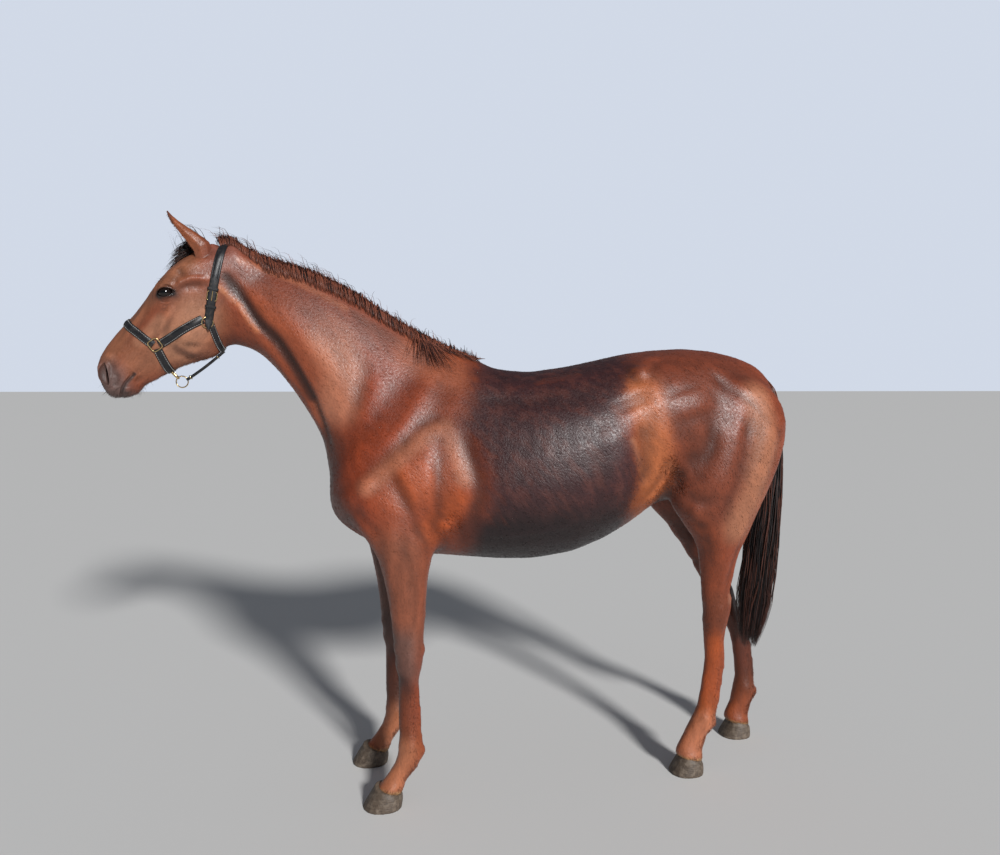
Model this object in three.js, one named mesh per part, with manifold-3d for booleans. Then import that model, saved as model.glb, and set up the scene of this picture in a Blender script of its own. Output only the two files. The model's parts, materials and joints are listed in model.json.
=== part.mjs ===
// A saddle horse standing still, with a leather halter on its head. Millimetres, +Z up.
// The horse faces -X, its left side is -Y, and the origin is on the floor under the middle of its box.
// The body is lofted through named stations, joined into one solid and parted again by thin cuts.
import * as THREE from "three";
import { mergeVertices } from "three/addons/utils/BufferGeometryUtils.js";
import Module from "manifold-3d";

const wasm = await Module();
wasm.setup();
const { Manifold, Mesh } = wasm;

// ---------------------------------------------------------------- driving sizes
const CUT = 0.4; // width of the saw cuts that part the body
const FIT = 0.35; // clearance between touching pieces
const STANCE = { foreLeft: 163, foreRight: 150, hind: 124 }; // each leg's distance from the middle plane
const HEAD = { poll: [-1200, 2010], slope: 52.8 }; // top of the head, and the face's angle below level
const EYE = { along: 250, rise: 19, side: 90, radius: 25 };
const STRAP = { width: 30, thick: 5 };
const WIRE = 3.2; // thickness of a brass ring's wire, halved

// Heights at which a leg is parted, and the upright cuts of the neck
const CUTS = { elbow: 861, knee: 606, stifle: 942, hock: 722 };

// ---------------------------------------------------------------- small tools
const rad = THREE.MathUtils.degToRad;
const lerp = THREE.MathUtils.lerp;
const vec = (x, y, z) => new THREE.Vector3(x, y, z);

// A value between four neighbours, as a Catmull-Rom curve gives it
function smoothValue(a, b, c, d, t) {
  return b + 0.5 * t * (c - a + t * (2 * a - 5 * b + 4 * c - d + t * (3 * (b - c) + d - a)));
}

// Puts `steps` stations in each gap of a table whose rows are arrays of numbers
function refine(rows, steps) {
  const out = [];
  for (let i = 0; i < rows.length - 1; i++) {
    const [a, b, c, d] = [rows[Math.max(i - 1, 0)], rows[i], rows[i + 1], rows[Math.min(i + 2, rows.length - 1)]];
    for (let k = 0; k < steps; k++) out.push(b.map((_, j) => smoothValue(a[j], b[j], c[j], d[j], k / steps)));
  }
  out.push(rows[rows.length - 1]);
  return out;
}

// One half of a superellipse: how far out along an axis the outline is at a given angle
const bulge = (value, power) => Math.sign(value) * Math.abs(value) ** (2 / power);

// A ring of points round a centre. `up` and `side` are unit vectors in its plane. The outline reaches
// `rise` along up, `drop` against it and `half` to each side, with its own squareness above and below.
function ring({ centre, up, side, rise, drop, half, powerUp = 2, powerDown = 2 }, count, grow) {
  const points = [];
  for (let i = 0; i < count; i++) {
    const angle = (2 * Math.PI * i) / count;
    const power = Math.sin(angle) > 0 ? powerUp : powerDown;
    const across = (half + grow) * bulge(Math.cos(angle), power);
    const reach = (Math.sin(angle) > 0 ? rise : drop) + grow;
    points.push(centre.clone().addScaledVector(side, across).addScaledVector(up, reach * bulge(Math.sin(angle), power)));
  }
  return points;
}

// A closed surface through rings of equal count, with a flat fan at each end
function skinRings(rings) {
  const count = rings[0].length;
  const points = rings.flat();
  const faces = [];
  for (let r = 0; r < rings.length - 1; r++) {
    for (let i = 0; i < count; i++) {
      const [a, b] = [r * count + i, r * count + ((i + 1) % count)];
      faces.push(a, b, b + count, a, b + count, a + count);
    }
  }
  const centreOf = (r) => rings[r].reduce((sum, p) => sum.add(p), vec(0, 0, 0)).divideScalar(count);
  const [first, last] = [points.push(centreOf(0)) - 1, points.push(centreOf(rings.length - 1)) - 1];
  const end = (rings.length - 1) * count;
  for (let i = 0; i < count; i++) {
    const j = (i + 1) % count;
    faces.push(first, j, i, last, end + i, end + j);
  }
  return { points, faces };
}

// three.js geometry or rings to a manifold-3d solid, turned right side out
function solid(source) {
  let { points, faces } = source;
  if (source.isBufferGeometry) {
    const bare = new THREE.BufferGeometry().setAttribute("position", source.getAttribute("position"));
    if (source.index) bare.setIndex(source.index);
    const merged = mergeVertices(bare, 1e-3);
    const position = merged.getAttribute("position");
    points = Array.from({ length: position.count }, (_, i) => vec().fromBufferAttribute(position, i));
    faces = Array.from(merged.index.array);
  }
  const build = (list) =>
    new Manifold(
      new Mesh({
        numProp: 3,
        vertProperties: new Float32Array(points.flatMap((p) => [p.x, p.y, p.z])),
        triVerts: new Uint32Array(list),
      }),
    );
  const made = build(faces);
  if (made.volume() > 0) return made;
  const turned = [];
  for (let i = 0; i < faces.length; i += 3) turned.push(faces[i], faces[i + 2], faces[i + 1]);
  return build(turned);
}

// A loft through stations; `grow` makes it larger all round and at both ends
function loft(stations, count, grow = 0) {
  const rings = stations.map((s) => ring(s, count, grow));
  if (grow > 0) {
    for (const [end, next] of [[0, 1], [stations.length - 1, stations.length - 2]]) {
      const out = stations[end].centre.clone().sub(stations[next].centre).setLength(grow);
      for (const point of rings[end]) point.add(out);
    }
  }
  return solid(skinRings(rings));
}
const join = (list) => list.reduce((sum, s) => sum.add(s));
const biggest = (made) => made.decompose().reduce((a, b) => (a.volume() > b.volume() ? a : b));

// A box with its size, middle and turns in degrees about Y (side tilt) and X
function block(size, middle, tiltY = 0, tiltX = 0) {
  const box = new THREE.BoxGeometry(...size);
  box.rotateX(rad(tiltX)).rotateY(rad(tiltY)).translate(...middle);
  return solid(box);
}

// A slab through the head between two points of the middle plane, as wide as a strap
const CLEAR = FIT + STRAP.thick + FIT; // over a strap
function band(from, to, width, side = 0) {
  const middle = from.clone().lerp(to, 0.5);
  const run = to.clone().sub(from);
  const tilt = -THREE.MathUtils.radToDeg(Math.atan2(run.z, run.x));
  const reach = 300;
  return block([run.length(), reach, width], [middle.x, side * (reach / 2 + 12), middle.z], tilt);
}

// ---------------------------------------------------------------- trunk
// x, back line, belly line, height of the widest place, half width there, squareness above and below
const TRUNK = [
  [-836, 1180, 1078, 1128, 58, 2.0, 2.0], // tip of the breastbone
  [-822, 1242, 1032, 1126, 112, 2.0, 2.0], // breast
  [-786, 1345, 991, 1126, 166, 2.0, 2.0],
  [-728, 1460, 951, 1130, 206, 1.9, 2.1], // points of the shoulders
  [-640, 1570, 902, 1135, 229, 1.7, 2.2],
  [-540, 1652, 882, 1142, 238, 1.55, 2.2], // front of the withers
  [-440, 1660, 872, 1145, 245, 1.5, 2.15], // withers
  [-330, 1622, 860, 1145, 262, 1.6, 2.1],
  [-215, 1576, 849, 1150, 288, 1.8, 2.1], // behind the withers
  [-90, 1565, 846, 1155, 308, 2.0, 2.1], // middle of the back
  [60, 1586, 864, 1180, 315, 2.1, 2.0], // loin
  [190, 1614, 908, 1235, 300, 2.2, 1.9], // flank
  [290, 1636, 960, 1320, 280, 2.35, 1.9], // points of the hips
  [400, 1650, 1036, 1365, 273, 2.2, 1.9],
  [520, 1658, 1064, 1350, 264, 2.1, 1.9], // top of the croup
  [640, 1650, 1074, 1330, 246, 2.1, 1.9],
  [740, 1627, 1110, 1330, 220, 2.15, 1.9],
  [812, 1600, 1180, 1340, 184, 2.2, 1.9],
  [862, 1562, 1250, 1350, 140, 2.2, 2.0], // root of the tail
  [892, 1510, 1300, 1370, 84, 2.0, 2.0],
];
function trunkLoft(grow = 0) {
  const stations = TRUNK.map(([x, top, low, wide, half, powerUp, powerDown]) => ({
    centre: vec(x, 0, wide),
    up: vec(0, 0, 1),
    side: vec(0, 1, 0),
    rise: top - wide,
    drop: wide - low,
    half,
    powerUp,
    powerDown,
  }));
  return loft(stations, 24, grow);
}

// ---------------------------------------------------------------- neck
// crest x and z, windpipe side x and z, half width
const NECK = [
  [-400, 1648, -745, 985, 178], // buried in the trunk
  [-500, 1692, -832, 1135, 160],
  [-605, 1750, -856, 1292, 136],
  [-705, 1816, -912, 1408, 116],
  [-808, 1872, -982, 1515, 100],
  [-908, 1912, -1048, 1594, 89],
  [-1008, 1940, -1100, 1634, 81],
  [-1098, 1970, -1150, 1648, 75],
  [-1182, 1998, -1196, 1668, 70], // buried in the head
];
const NECK_WIDEST = 0.58; // share of the depth, from the crest, where the neck is widest
function neckLoft(grow = 0) {
  const stations = refine(NECK, 2).map(([tx, tz, bx, bz, half]) => {
    const [top, low] = [vec(tx, 0, tz), vec(bx, 0, bz)];
    const up = top.clone().sub(low);
    const depth = up.length();
    return {
      centre: top.clone().lerp(low, NECK_WIDEST),
      up: up.normalize(),
      side: vec(0, 1, 0),
      rise: depth * NECK_WIDEST,
      drop: depth * (1 - NECK_WIDEST),
      half,
      powerUp: 1.6,
      powerDown: 2.1,
    };
  });
  return loft(stations, 16, grow);
}

// ---------------------------------------------------------------- head
const ALONG = vec(-Math.cos(rad(HEAD.slope)), 0, -Math.sin(rad(HEAD.slope))); // from the poll to the lips
const FACE_UP = vec(-Math.sin(rad(HEAD.slope)), 0, Math.cos(rad(HEAD.slope))); // out of the forehead
const onHead = (along, rise, side = 0) =>
  vec(HEAD.poll[0], side, HEAD.poll[1]).addScaledVector(ALONG, along).addScaledVector(FACE_UP, rise);

// along from the poll, face line, jaw line, height of the widest place, half width, squareness above and below
const SKULL = [
  [-22, -28, -205, -90, 58, 2.0, 2.0],
  [30, 17, -225, -60, 70, 2.0, 1.9], // poll
  [82, 53, -232, -25, 84, 2.1, 1.8], // roots of the ears
  [132, 70, -232, 8, 97, 2.2, 1.7], // forehead
  [184, 79, -232, 16, 105, 2.3, 1.62],
  [234, 82, -233, 18, 108, 2.3, 1.6], // brow
  [284, 82, -234, 10, 103, 2.2, 1.62], // below the eye
  [326, 83, -226, -12, 93, 2.1, 1.75], // round cheek
  [372, 84, -194, -20, 80, 2.1, 1.85],
  [420, 88, -158, -16, 68, 2.1, 1.9], // bars of the jaw
  [472, 92, -130, -8, 60, 2.1, 2.0],
  [524, 92, -108, 0, 58, 2.1, 2.0],
  [562, 87, -90, 5, 61, 2.1, 2.1], // chin groove
  [594, 76, -90, 0, 62, 2.2, 2.2], // nostrils
  [622, 54, -76, -8, 57, 2.2, 2.2],
  [644, 22, -54, -18, 46, 2.1, 2.1],
  [657, -4, -37, -20, 26, 2.0, 2.0], // upper lip
];
function headLoft(grow = 0) {
  const stations = SKULL.map(([along, top, low, wide, half, powerUp, powerDown]) => ({
    centre: onHead(along, wide),
    up: FACE_UP,
    side: vec(0, 1, 0),
    rise: top - wide,
    drop: wide - low,
    half,
    powerUp,
    powerDown,
  }));
  return loft(stations, 20, grow);
}

// ---------------------------------------------------------------- legs
// height, front x, rear x, distance from the middle plane beyond the stance, half thickness
const FORELEG = [
  [1190, -768, -490, -28, 92], // upper arm, buried in the shoulder
  [1110, -786, -440, -16, 101],
  [1030, -756, -416, -6, 97], // elbow at the rear
  [960, -704, -428, 3, 87],
  [900, -667, -468, 7, 76], // top of the forearm
  [830, -647, -483, 7, 66],
  [745, -630, -490, 5, 56],
  [665, -619, -495, 2, 48],
  [600, -613, -501, 1, 46],
  [560, -610, -501, 0, 49],
  [520, -606, -503, 0, 50], // knee
  [480, -600, -512, 0, 45],
  [445, -596, -521, 0, 36],
  [400, -596, -522, 0, 29], // cannon
  [330, -597, -520, 0, 27],
  [270, -596, -515, 0, 29],
  [232, -596, -506, 0, 35],
  [200, -598, -503, 0, 39], // fetlock
  [170, -605, -504, 0, 38],
  [142, -618, -515, 0, 33],
  [120, -631, -540, 0, 32], // pastern
  [95, -648, -560, 0, 35],
  [70, -670, -572, 0, 45],
  [50, -684, -580, 0, 52], // coronet
  [34, -686, -582, 0, 54],
];
const HINDLEG = [
  [1530, 560, 790, 6, 70], // rump, buried in the trunk
  [1500, 520, 836, 6, 98],
  [1440, 470, 884, 8, 120],
  [1370, 440, 900, 14, 128],
  [1290, 418, 890, 24, 129],
  [1200, 404, 858, 36, 121], // thigh
  [1120, 404, 820, 43, 110],
  [1050, 424, 786, 45, 98], // stifle
  [990, 470, 758, 42, 88],
  [930, 518, 734, 35, 76],
  [880, 542, 712, 29, 67], // second thigh
  [830, 551, 701, 22, 57],
  [772, 560, 694, 16, 48],
  [715, 566, 685, 11, 41],
  [672, 571, 695, 8, 43],
  [640, 577, 694, 6, 45], // point of the hock
  [600, 579, 684, 4, 45],
  [560, 581, 675, 2, 41],
  [512, 585, 671, 0, 33],
  [450, 590, 676, 0, 28], // cannon
  [398, 584, 667, 0, 27],
  [319, 573, 656, 0, 27],
  [260, 561, 649, 0, 30],
  [215, 544, 641, 0, 38], // fetlock
  [178, 522, 637, 0, 39],
  [150, 506, 612, 0, 34],
  [122, 492, 596, 0, 33], // pastern
  [95, 478, 590, 0, 37],
  [68, 476, 587, 0, 47],
  [50, 482, 586, 0, 52], // coronet
  [34, 484, 584, 0, 54],
];
// The right hind leg is stretched back: how much further back it is than the left at each height
const STRETCH = [
  [1530, 0],
  [1050, 3],
  [966, 10],
  [930, 20],
  [877, 39],
  [820, 62],
  [759, 86],
  [701, 114],
  [600, 164],
  [510, 206],
  [390, 252],
  [300, 276],
  [200, 304],
  [150, 322],
  [34, 330],
];
const FORE_LEAD = -46; // the right foreleg stands this much further forward
const HOOF_AT = { fore: -650, foreRight: -701, hind: 522, hindRight: 853 };
const HOOF_SIZE = { fore: 1.02, hind: 0.95 };

// The value of a [height, value] table at a height
function at(table, height) {
  const i = Math.max(1, table.findIndex(([h]) => h <= height));
  const [[h0, v0], [h1, v1]] = [table[i - 1], table[i]];
  return lerp(v0, v1, THREE.MathUtils.clamp((h0 - height) / (h0 - h1), 0, 1));
}

// `side` is -1 on the left and 1 on the right; `shift` moves each height along X
function legLoft(table, stance, side, shift, grow = 0) {
  const stations = table.map(([z, front, rear, out, half]) => ({
    centre: vec((front + rear) / 2 + shift(z), side * (stance + out), z),
    up: vec(-1, 0, 0),
    side: vec(0, 1, 0),
    rise: (rear - front) / 2,
    drop: (rear - front) / 2,
    half,
    powerUp: 2,
    powerDown: z < 720 ? 1.8 : 2,
  }));
  return loft(stations, 12, grow);
}
const still = () => 0;
const foreLead = (z) => FORE_LEAD * THREE.MathUtils.smoothstep(1150 - z, 0, 300);
const hindStretch = (z) => at(STRETCH, z);
const LEGS = [
  { name: "foreleg_left", table: FORELEG, stance: STANCE.foreLeft, side: -1, shift: still, hoof: HOOF_AT.fore },
  { name: "foreleg_right", table: FORELEG, stance: STANCE.foreRight, side: 1, shift: foreLead, hoof: HOOF_AT.foreRight },
  { name: "hindleg_left", table: HINDLEG, stance: STANCE.hind, side: -1, shift: still, hoof: HOOF_AT.hind },
  { name: "hindleg_right", table: HINDLEG, stance: STANCE.hind, side: 1, shift: hindStretch, hoof: HOOF_AT.hindRight },
];
const sizeOf = ({ name }) => (name.startsWith("fore") ? HOOF_SIZE.fore : HOOF_SIZE.hind);

// ---------------------------------------------------------------- hooves
// height at the toe, height at the heel, toe and heel along X, half width, squareness at the heel
const HOOF = [
  [0, 0, -74, 66, 64, 2.6],
  [6, 6, -71, 66, 64, 2.6],
  [34, 22, -54, 68, 60, 2.3],
  [64, 40, -34, 66, 54, 2.1], // coronet
];
function hoofLoft(x, stance, side, size) {
  const stations = HOOF.map(([toe, heel, front, rear, half, powerDown]) => {
    const [tip, back] = [vec(front * size, 0, toe), vec(rear * size, 0, heel)];
    const up = tip.clone().sub(back);
    const length = up.length();
    return {
      centre: tip.clone().lerp(back, 0.5).add(vec(x, side * stance, 0)),
      up: up.normalize(),
      side: vec(0, 1, 0),
      rise: length / 2,
      drop: length / 2,
      half: half * size,
      powerUp: 2.1,
      powerDown,
    };
  });
  return loft(stations, 16);
}
// What is taken off the end of a leg, so that it stops a hair above the sloping top of its hoof
function hoofRoom(x, stance, side, size) {
  const [toe, heel, ...ends] = HOOF[HOOF.length - 1];
  const [front, rear] = [ends[0] * size, ends[1] * size];
  const slope = THREE.MathUtils.radToDeg(Math.atan2(toe - heel, rear - front));
  const [length, depth] = [260, 120];
  const down = vec(-Math.sin(rad(slope)), 0, -Math.cos(rad(slope))).multiplyScalar(depth / 2 - FIT);
  const middle = vec(x + (front + rear) / 2, side * stance, (toe + heel) / 2).add(down);
  return block([length, 200, depth], middle.toArray(), slope);
}

// ---------------------------------------------------------------- ears and eyes
// middle's X, distance out, middle's Z, half width along the head, half thickness
const EAR = [
  [-1248, 50, 1950, 32, 27],
  [-1254, 56, 1984, 34, 29],
  [-1280, 62, 2013, 26, 28],
  [-1309, 67, 2040, 18.5, 24],
  [-1335, 71, 2066, 11, 17],
  [-1351, 72, 2087, 6, 9],
  [-1361, 72, 2105, 2, 3], // tip
];
const EAR_WALL = 5;
const EAR_WIDE = vec(0.78, 0, 0.62); // across an ear, to the rear
function earLoft(side, rows, shrink, forward) {
  const stations = rows.map(([x, out, z, half, thick]) => ({
    centre: vec(x, side * out, z).addScaledVector(EAR_WIDE, -forward),
    up: EAR_WIDE,
    side: vec(0, 1, 0),
    rise: half - shrink,
    drop: half - shrink,
    half: thick - shrink,
    powerUp: 2,
    powerDown: 3.4,
  }));
  return loft(stations, 8);
}
// The pinna is a pointed cup, open to the front
const ear = (side) => earLoft(side, EAR, 0, 0).subtract(earLoft(side, EAR.slice(1, 5), EAR_WALL, 12));
const EAR_DROP = [[0, 0, 0], [7, 0, -11]]; // the right ear is held a little lower

const eyeball = (side, grow = 0) => {
  const ball = new THREE.SphereGeometry(EYE.radius + grow, 12, 8);
  const place = onHead(EYE.along, EYE.rise, side * EYE.side);
  return solid(ball.rotateX(Math.PI / 2).translate(place.x, place.y, place.z));
};

// ---------------------------------------------------------------- the body in one piece, then parted
const legFlesh = LEGS.map(({ table, stance, side, shift }) => legLoft(table, stance, side, shift));
const hoofRooms = LEGS.map((leg) => hoofRoom(leg.hoof, leg.stance, leg.side, sizeOf(leg)));
const flesh = join([trunkLoft(), neckLoft(), headLoft(), ...legFlesh])
  .subtract(join(hoofRooms))
  .subtract(join([-1, 1].map((side) => eyeball(side, FIT))));

const THROAT_CUT = block([CUT, 400, 560], [-1150, 0, 1830], 5);
const NECK_CUT = block([CUT, 700, 860], [-690, 0, 1450], 31);
const levelCut = (x, length, height) => block([length, 640, CUT], [x, 0, height]);
const cuts = join([
  THROAT_CUT,
  NECK_CUT,
  levelCut(-590, 420, CUTS.elbow),
  levelCut(-590, 420, CUTS.knee),
  levelCut(660, 620, CUTS.stifle),
  levelCut(700, 620, CUTS.hock),
]);
const pieces = flesh.subtract(cuts).decompose();

// Each parted piece is named by a point that lies in its box, nearest to its middle
const middleOf = (s) => {
  const { min, max } = s.boundingBox();
  return vec(...min.map((low, i) => (low + max[i]) / 2));
};
const PLACES = {
  head: [-1390, 0, 1740],
  neck: [-940, 0, 1640],
  trunk: [20, 0, 1250],
};
for (const { name, stance, side, table, shift } of LEGS) {
  const [high, low] = name.startsWith("fore") ? [733, 330] : [832, 390];
  const along = table[Math.floor(table.length / 2)][1];
  PLACES[name + "_upper"] = [along + shift(high), side * stance, high];
  PLACES[name + "_lower"] = [along + shift(low), side * stance, low];
}
function named(list) {
  const found = {};
  for (const [name, place] of Object.entries(PLACES)) {
    const target = vec(...place);
    found[name] = list.reduce((best, s) =>
      middleOf(s).distanceTo(target) < middleOf(best).distanceTo(target) ? s : best,
    );
  }
  return found;
}
const body = named(pieces);

// ---------------------------------------------------------------- mane, forelock and tail
// The mane stands on the crest as a short ridge and lies down the right side of the neck.
// x, top, root, half width of the ridge
const RIDGE = [
  [-1205, 2030, 1990, 9],
  [-1180, 2048, 1980, 17],
  [-1152, 2038, 1975, 22],
  [-1085, 2003, 1955, 23],
  [-1025, 1974, 1935, 22],
  [-933, 1951, 1905, 22],
  [-863, 1930, 1882, 21],
  [-792, 1897, 1852, 21],
  [-685, 1836, 1792, 20],
  [-576, 1762, 1718, 20],
  [-465, 1696, 1655, 18],
  [-385, 1662, 1628, 11],
];
const MANE_THICK = 12; // of the hair that lies on the neck
const ridge = loft(
  RIDGE.map(([x, top, root, half]) => ({
    centre: vec(x, 4, (top + root) / 2),
    up: vec(0, 0, 1),
    side: vec(0, 1, 0),
    rise: (top - root) / 2,
    drop: (top - root) / 2,
    half,
  })),
  8,
);
const fallOfMane = neckLoft(MANE_THICK).intersect(block([800, 200, 130], [-860, 106, 1848], 28));
const CROWN_BAND = [onHead(232, -135), vec(-1178, 0, 2040)]; // where the crownpiece runs over the poll
const crownRoom = join([headLoft(CLEAR), neckLoft(CLEAR)]).intersect(band(...CROWN_BAND, STRAP.width + 2 * FIT));
const mane = biggest(
  ridge.add(fallOfMane).subtract(neckLoft(FIT)).subtract(trunkLoft(FIT)).subtract(headLoft(FIT)).subtract(crownRoom),
);

// x, z, half thickness, half width
const FORELOCK = [
  [-1250, 2006, 14, 20],
  [-1284, 2002, 21, 30],
  [-1320, 1988, 23, 33],
  [-1351, 1971, 18, 27],
  [-1373, 1959, 7, 11],
];
const forelockLoft = loft(
  FORELOCK.map(([x, z, thick, half]) => ({
    centre: vec(x, 0, z),
    up: vec(-0.45, 0, 0.9).normalize(),
    side: vec(0, 1, 0),
    rise: thick,
    drop: thick,
    half,
  })),
  8,
);
const forelock = biggest(forelockLoft.subtract(headLoft(FIT)));

// x, z, half length, half width: dock first, then the fall of hair
const TAIL = [
  [860, 1546, 18, 22],
  [898, 1508, 25, 28],
  [918, 1450, 29, 33],
  [926, 1375, 32, 37],
  [925, 1280, 38, 42],
  [920, 1190, 43, 46],
  [916, 1100, 48, 50],
  [904, 1000, 53, 54],
  [892, 880, 59, 58],
  [880, 760, 63, 60],
  [868, 650, 65, 60],
  [854, 550, 62, 57],
  [842, 475, 54, 50],
  [836, 428, 24, 24],
];
const tailLoft = loft(
  TAIL.map(([x, z, half, wide], i, all) => {
    const [before, after] = [all[Math.max(i - 1, 0)], all[Math.min(i + 1, all.length - 1)]];
    const run = vec(after[0] - before[0], 0, after[1] - before[1]).normalize();
    return { centre: vec(x, 0, z), up: vec(-run.z, 0, run.x), side: vec(0, 1, 0), rise: half, drop: half, half: wide };
  }),
  12,
);
const rumpSides = LEGS.slice(2).map(({ table, stance, side, shift }) => legLoft(table, stance, side, shift, FIT));
const tail = biggest(tailLoft.subtract(trunkLoft(FIT)).subtract(join(rumpSides)));

// ---------------------------------------------------------------- halter
// A strap is a shell of the head's own shape between two clearances, kept where a slab passes through it
const headInside = join([headLoft(FIT), neckLoft(FIT)]);
const strapShell = join([headLoft(FIT + STRAP.thick), neckLoft(FIT + STRAP.thick)]).subtract(headInside);

// A band between two points of the middle plane, on one side of the head or (side 0) right round it
const strap = (from, to, side = 0) => biggest(strapShell.intersect(band(from, to, STRAP.width, side)));

// How far out from the middle plane the skin is, over a patch of the given half size
function skinAt(x, z, patch) {
  return headInside.intersect(block([2 * patch, 500, 2 * patch], [x, 0, z])).boundingBox().max[1];
}
// A brass ring that lies flat on the side of the head: `corners` 4 gives a square one
function flatRing({ x, z }, radius, corners, side, turn, lift) {
  const torus = new THREE.TorusGeometry(radius, WIRE, 5, corners);
  const out = skinAt(x, z, radius) + lift + WIRE;
  return solid(torus.rotateZ(rad(turn)).rotateX(Math.PI / 2).translate(x, side * out, z));
}
const NOSE_RING = onHead(415, -50);
const CHEEK_RING = onHead(249, -139);
const LEAD_RING = { x: -1345, z: 1522, radius: 19 };

const halter = {
  halter_noseband: strap(onHead(416, 130), onHead(421, -34)),
  halter_chinstrap: strap(onHead(430, -72), onHead(505, -184)),
  halter_crownpiece: strap(...CROWN_BAND),
  halter_throatstrap: strap(vec(-1227, 0, 1714), vec(-1192, 0, 1585)),
};
for (const [label, side] of [["left", -1], ["right", 1]]) {
  halter["halter_cheekpiece_" + label] = strap(onHead(394, -65), onHead(261, -118), side);
  halter["halter_square_ring_" + label] = flatRing(NOSE_RING, 26, 4, side, 32, CLEAR);
  halter["halter_cheek_ring_" + label] = flatRing(CHEEK_RING, 17, 12, side, 0, CLEAR);
}

// The lead ring hangs under the jaw on a small loop, held back by a strap from the throat
const leadRing = new THREE.TorusGeometry(LEAD_RING.radius, WIRE, 6, 14);
halter.halter_lead_ring = solid(leadRing.rotateX(Math.PI / 2).translate(LEAD_RING.x, 0, LEAD_RING.z));
const loopShape = new THREE.TorusGeometry(9.5, 2.2, 5, 8).rotateY(Math.PI / 2).rotateY(rad(38));
halter.halter_chin_loop = solid(loopShape.translate(-1362, 0, 1540));
const jowlStrap = block([118, 18, 8], [-1254, 0, 1573], -31.5);
halter.halter_jowl_strap = jowlStrap.subtract(headInside);

// ---------------------------------------------------------------- assembly
const COAT = { color: 0x7a4426, roughness: 0.45, metalness: 0 };
const DARK_HAIR = { color: 0x3a1c14, roughness: 0.55, metalness: 0 };
const HORN = { color: 0x6b655c, roughness: 0.7, metalness: 0 };
const EYE_GLOSS = { color: 0x120c0a, roughness: 0.08, metalness: 0 };
const LEATHER = { color: 0x15151b, roughness: 0.4, metalness: 0 };
const BRASS = { color: 0xc49a4a, roughness: 0.25, metalness: 1 };

function meshOf(name, made, look) {
  const { vertProperties, triVerts, numProp } = made.getMesh();
  const flat = new Float32Array(triVerts.length * 3);
  triVerts.forEach((v, i) => flat.set(vertProperties.subarray(v * numProp, v * numProp + 3), i * 3));
  const geometry = new THREE.BufferGeometry().setAttribute("position", new THREE.BufferAttribute(flat, 3));
  geometry.computeVertexNormals();
  const mesh = new THREE.Mesh(geometry, new THREE.MeshStandardMaterial(look));
  mesh.name = name;
  return mesh;
}

const horse = new THREE.Group();
for (const [name, made] of Object.entries(body)) horse.add(meshOf(name, made, COAT));
for (const [label, side, drop] of [["left", -1, EAR_DROP[0]], ["right", 1, EAR_DROP[1]]]) {
  const pinna = ear(side).translate(drop).subtract(headLoft(FIT));
  horse.add(meshOf("ear_" + label, biggest(pinna), COAT));
  horse.add(meshOf("eye_" + label, eyeball(side), EYE_GLOSS));
}
for (const leg of LEGS) {
  horse.add(meshOf(leg.name + "_hoof", hoofLoft(leg.hoof, leg.stance, leg.side, sizeOf(leg)), HORN));
}
horse.add(meshOf("mane", mane, DARK_HAIR), meshOf("forelock", forelock, DARK_HAIR), meshOf("tail", tail, DARK_HAIR));
for (const [name, made] of Object.entries(halter)) {
  horse.add(meshOf(name, made, /ring|loop/.test(name) ? BRASS : LEATHER));
}

// The origin goes to the floor, under the middle of the whole
const whole = new THREE.Box3().setFromObject(horse);
const middle = whole.getCenter(vec(0, 0, 0));
for (const mesh of horse.children) mesh.geometry.translate(-middle.x, -middle.y, -whole.min.z);

export default horse;
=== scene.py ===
# %% [markdown]
# # A standing horse in a leather halter
# The solids of the horse are already right in size and place, but they are faceted and parted
# where one meets the next. This lesson dresses them: one skin over the whole body, hooves, eyes,
# a padded halter, and hair that is modelled as real geometry. Everything is in metres, +X is toward the
# tail, -Y is the horse's left side and the floor is at z = 0.

# %% Open the frame
import json
import math

import bpy
import numpy as np
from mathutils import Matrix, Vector
from mathutils.bvhtree import BVHTree

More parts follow.
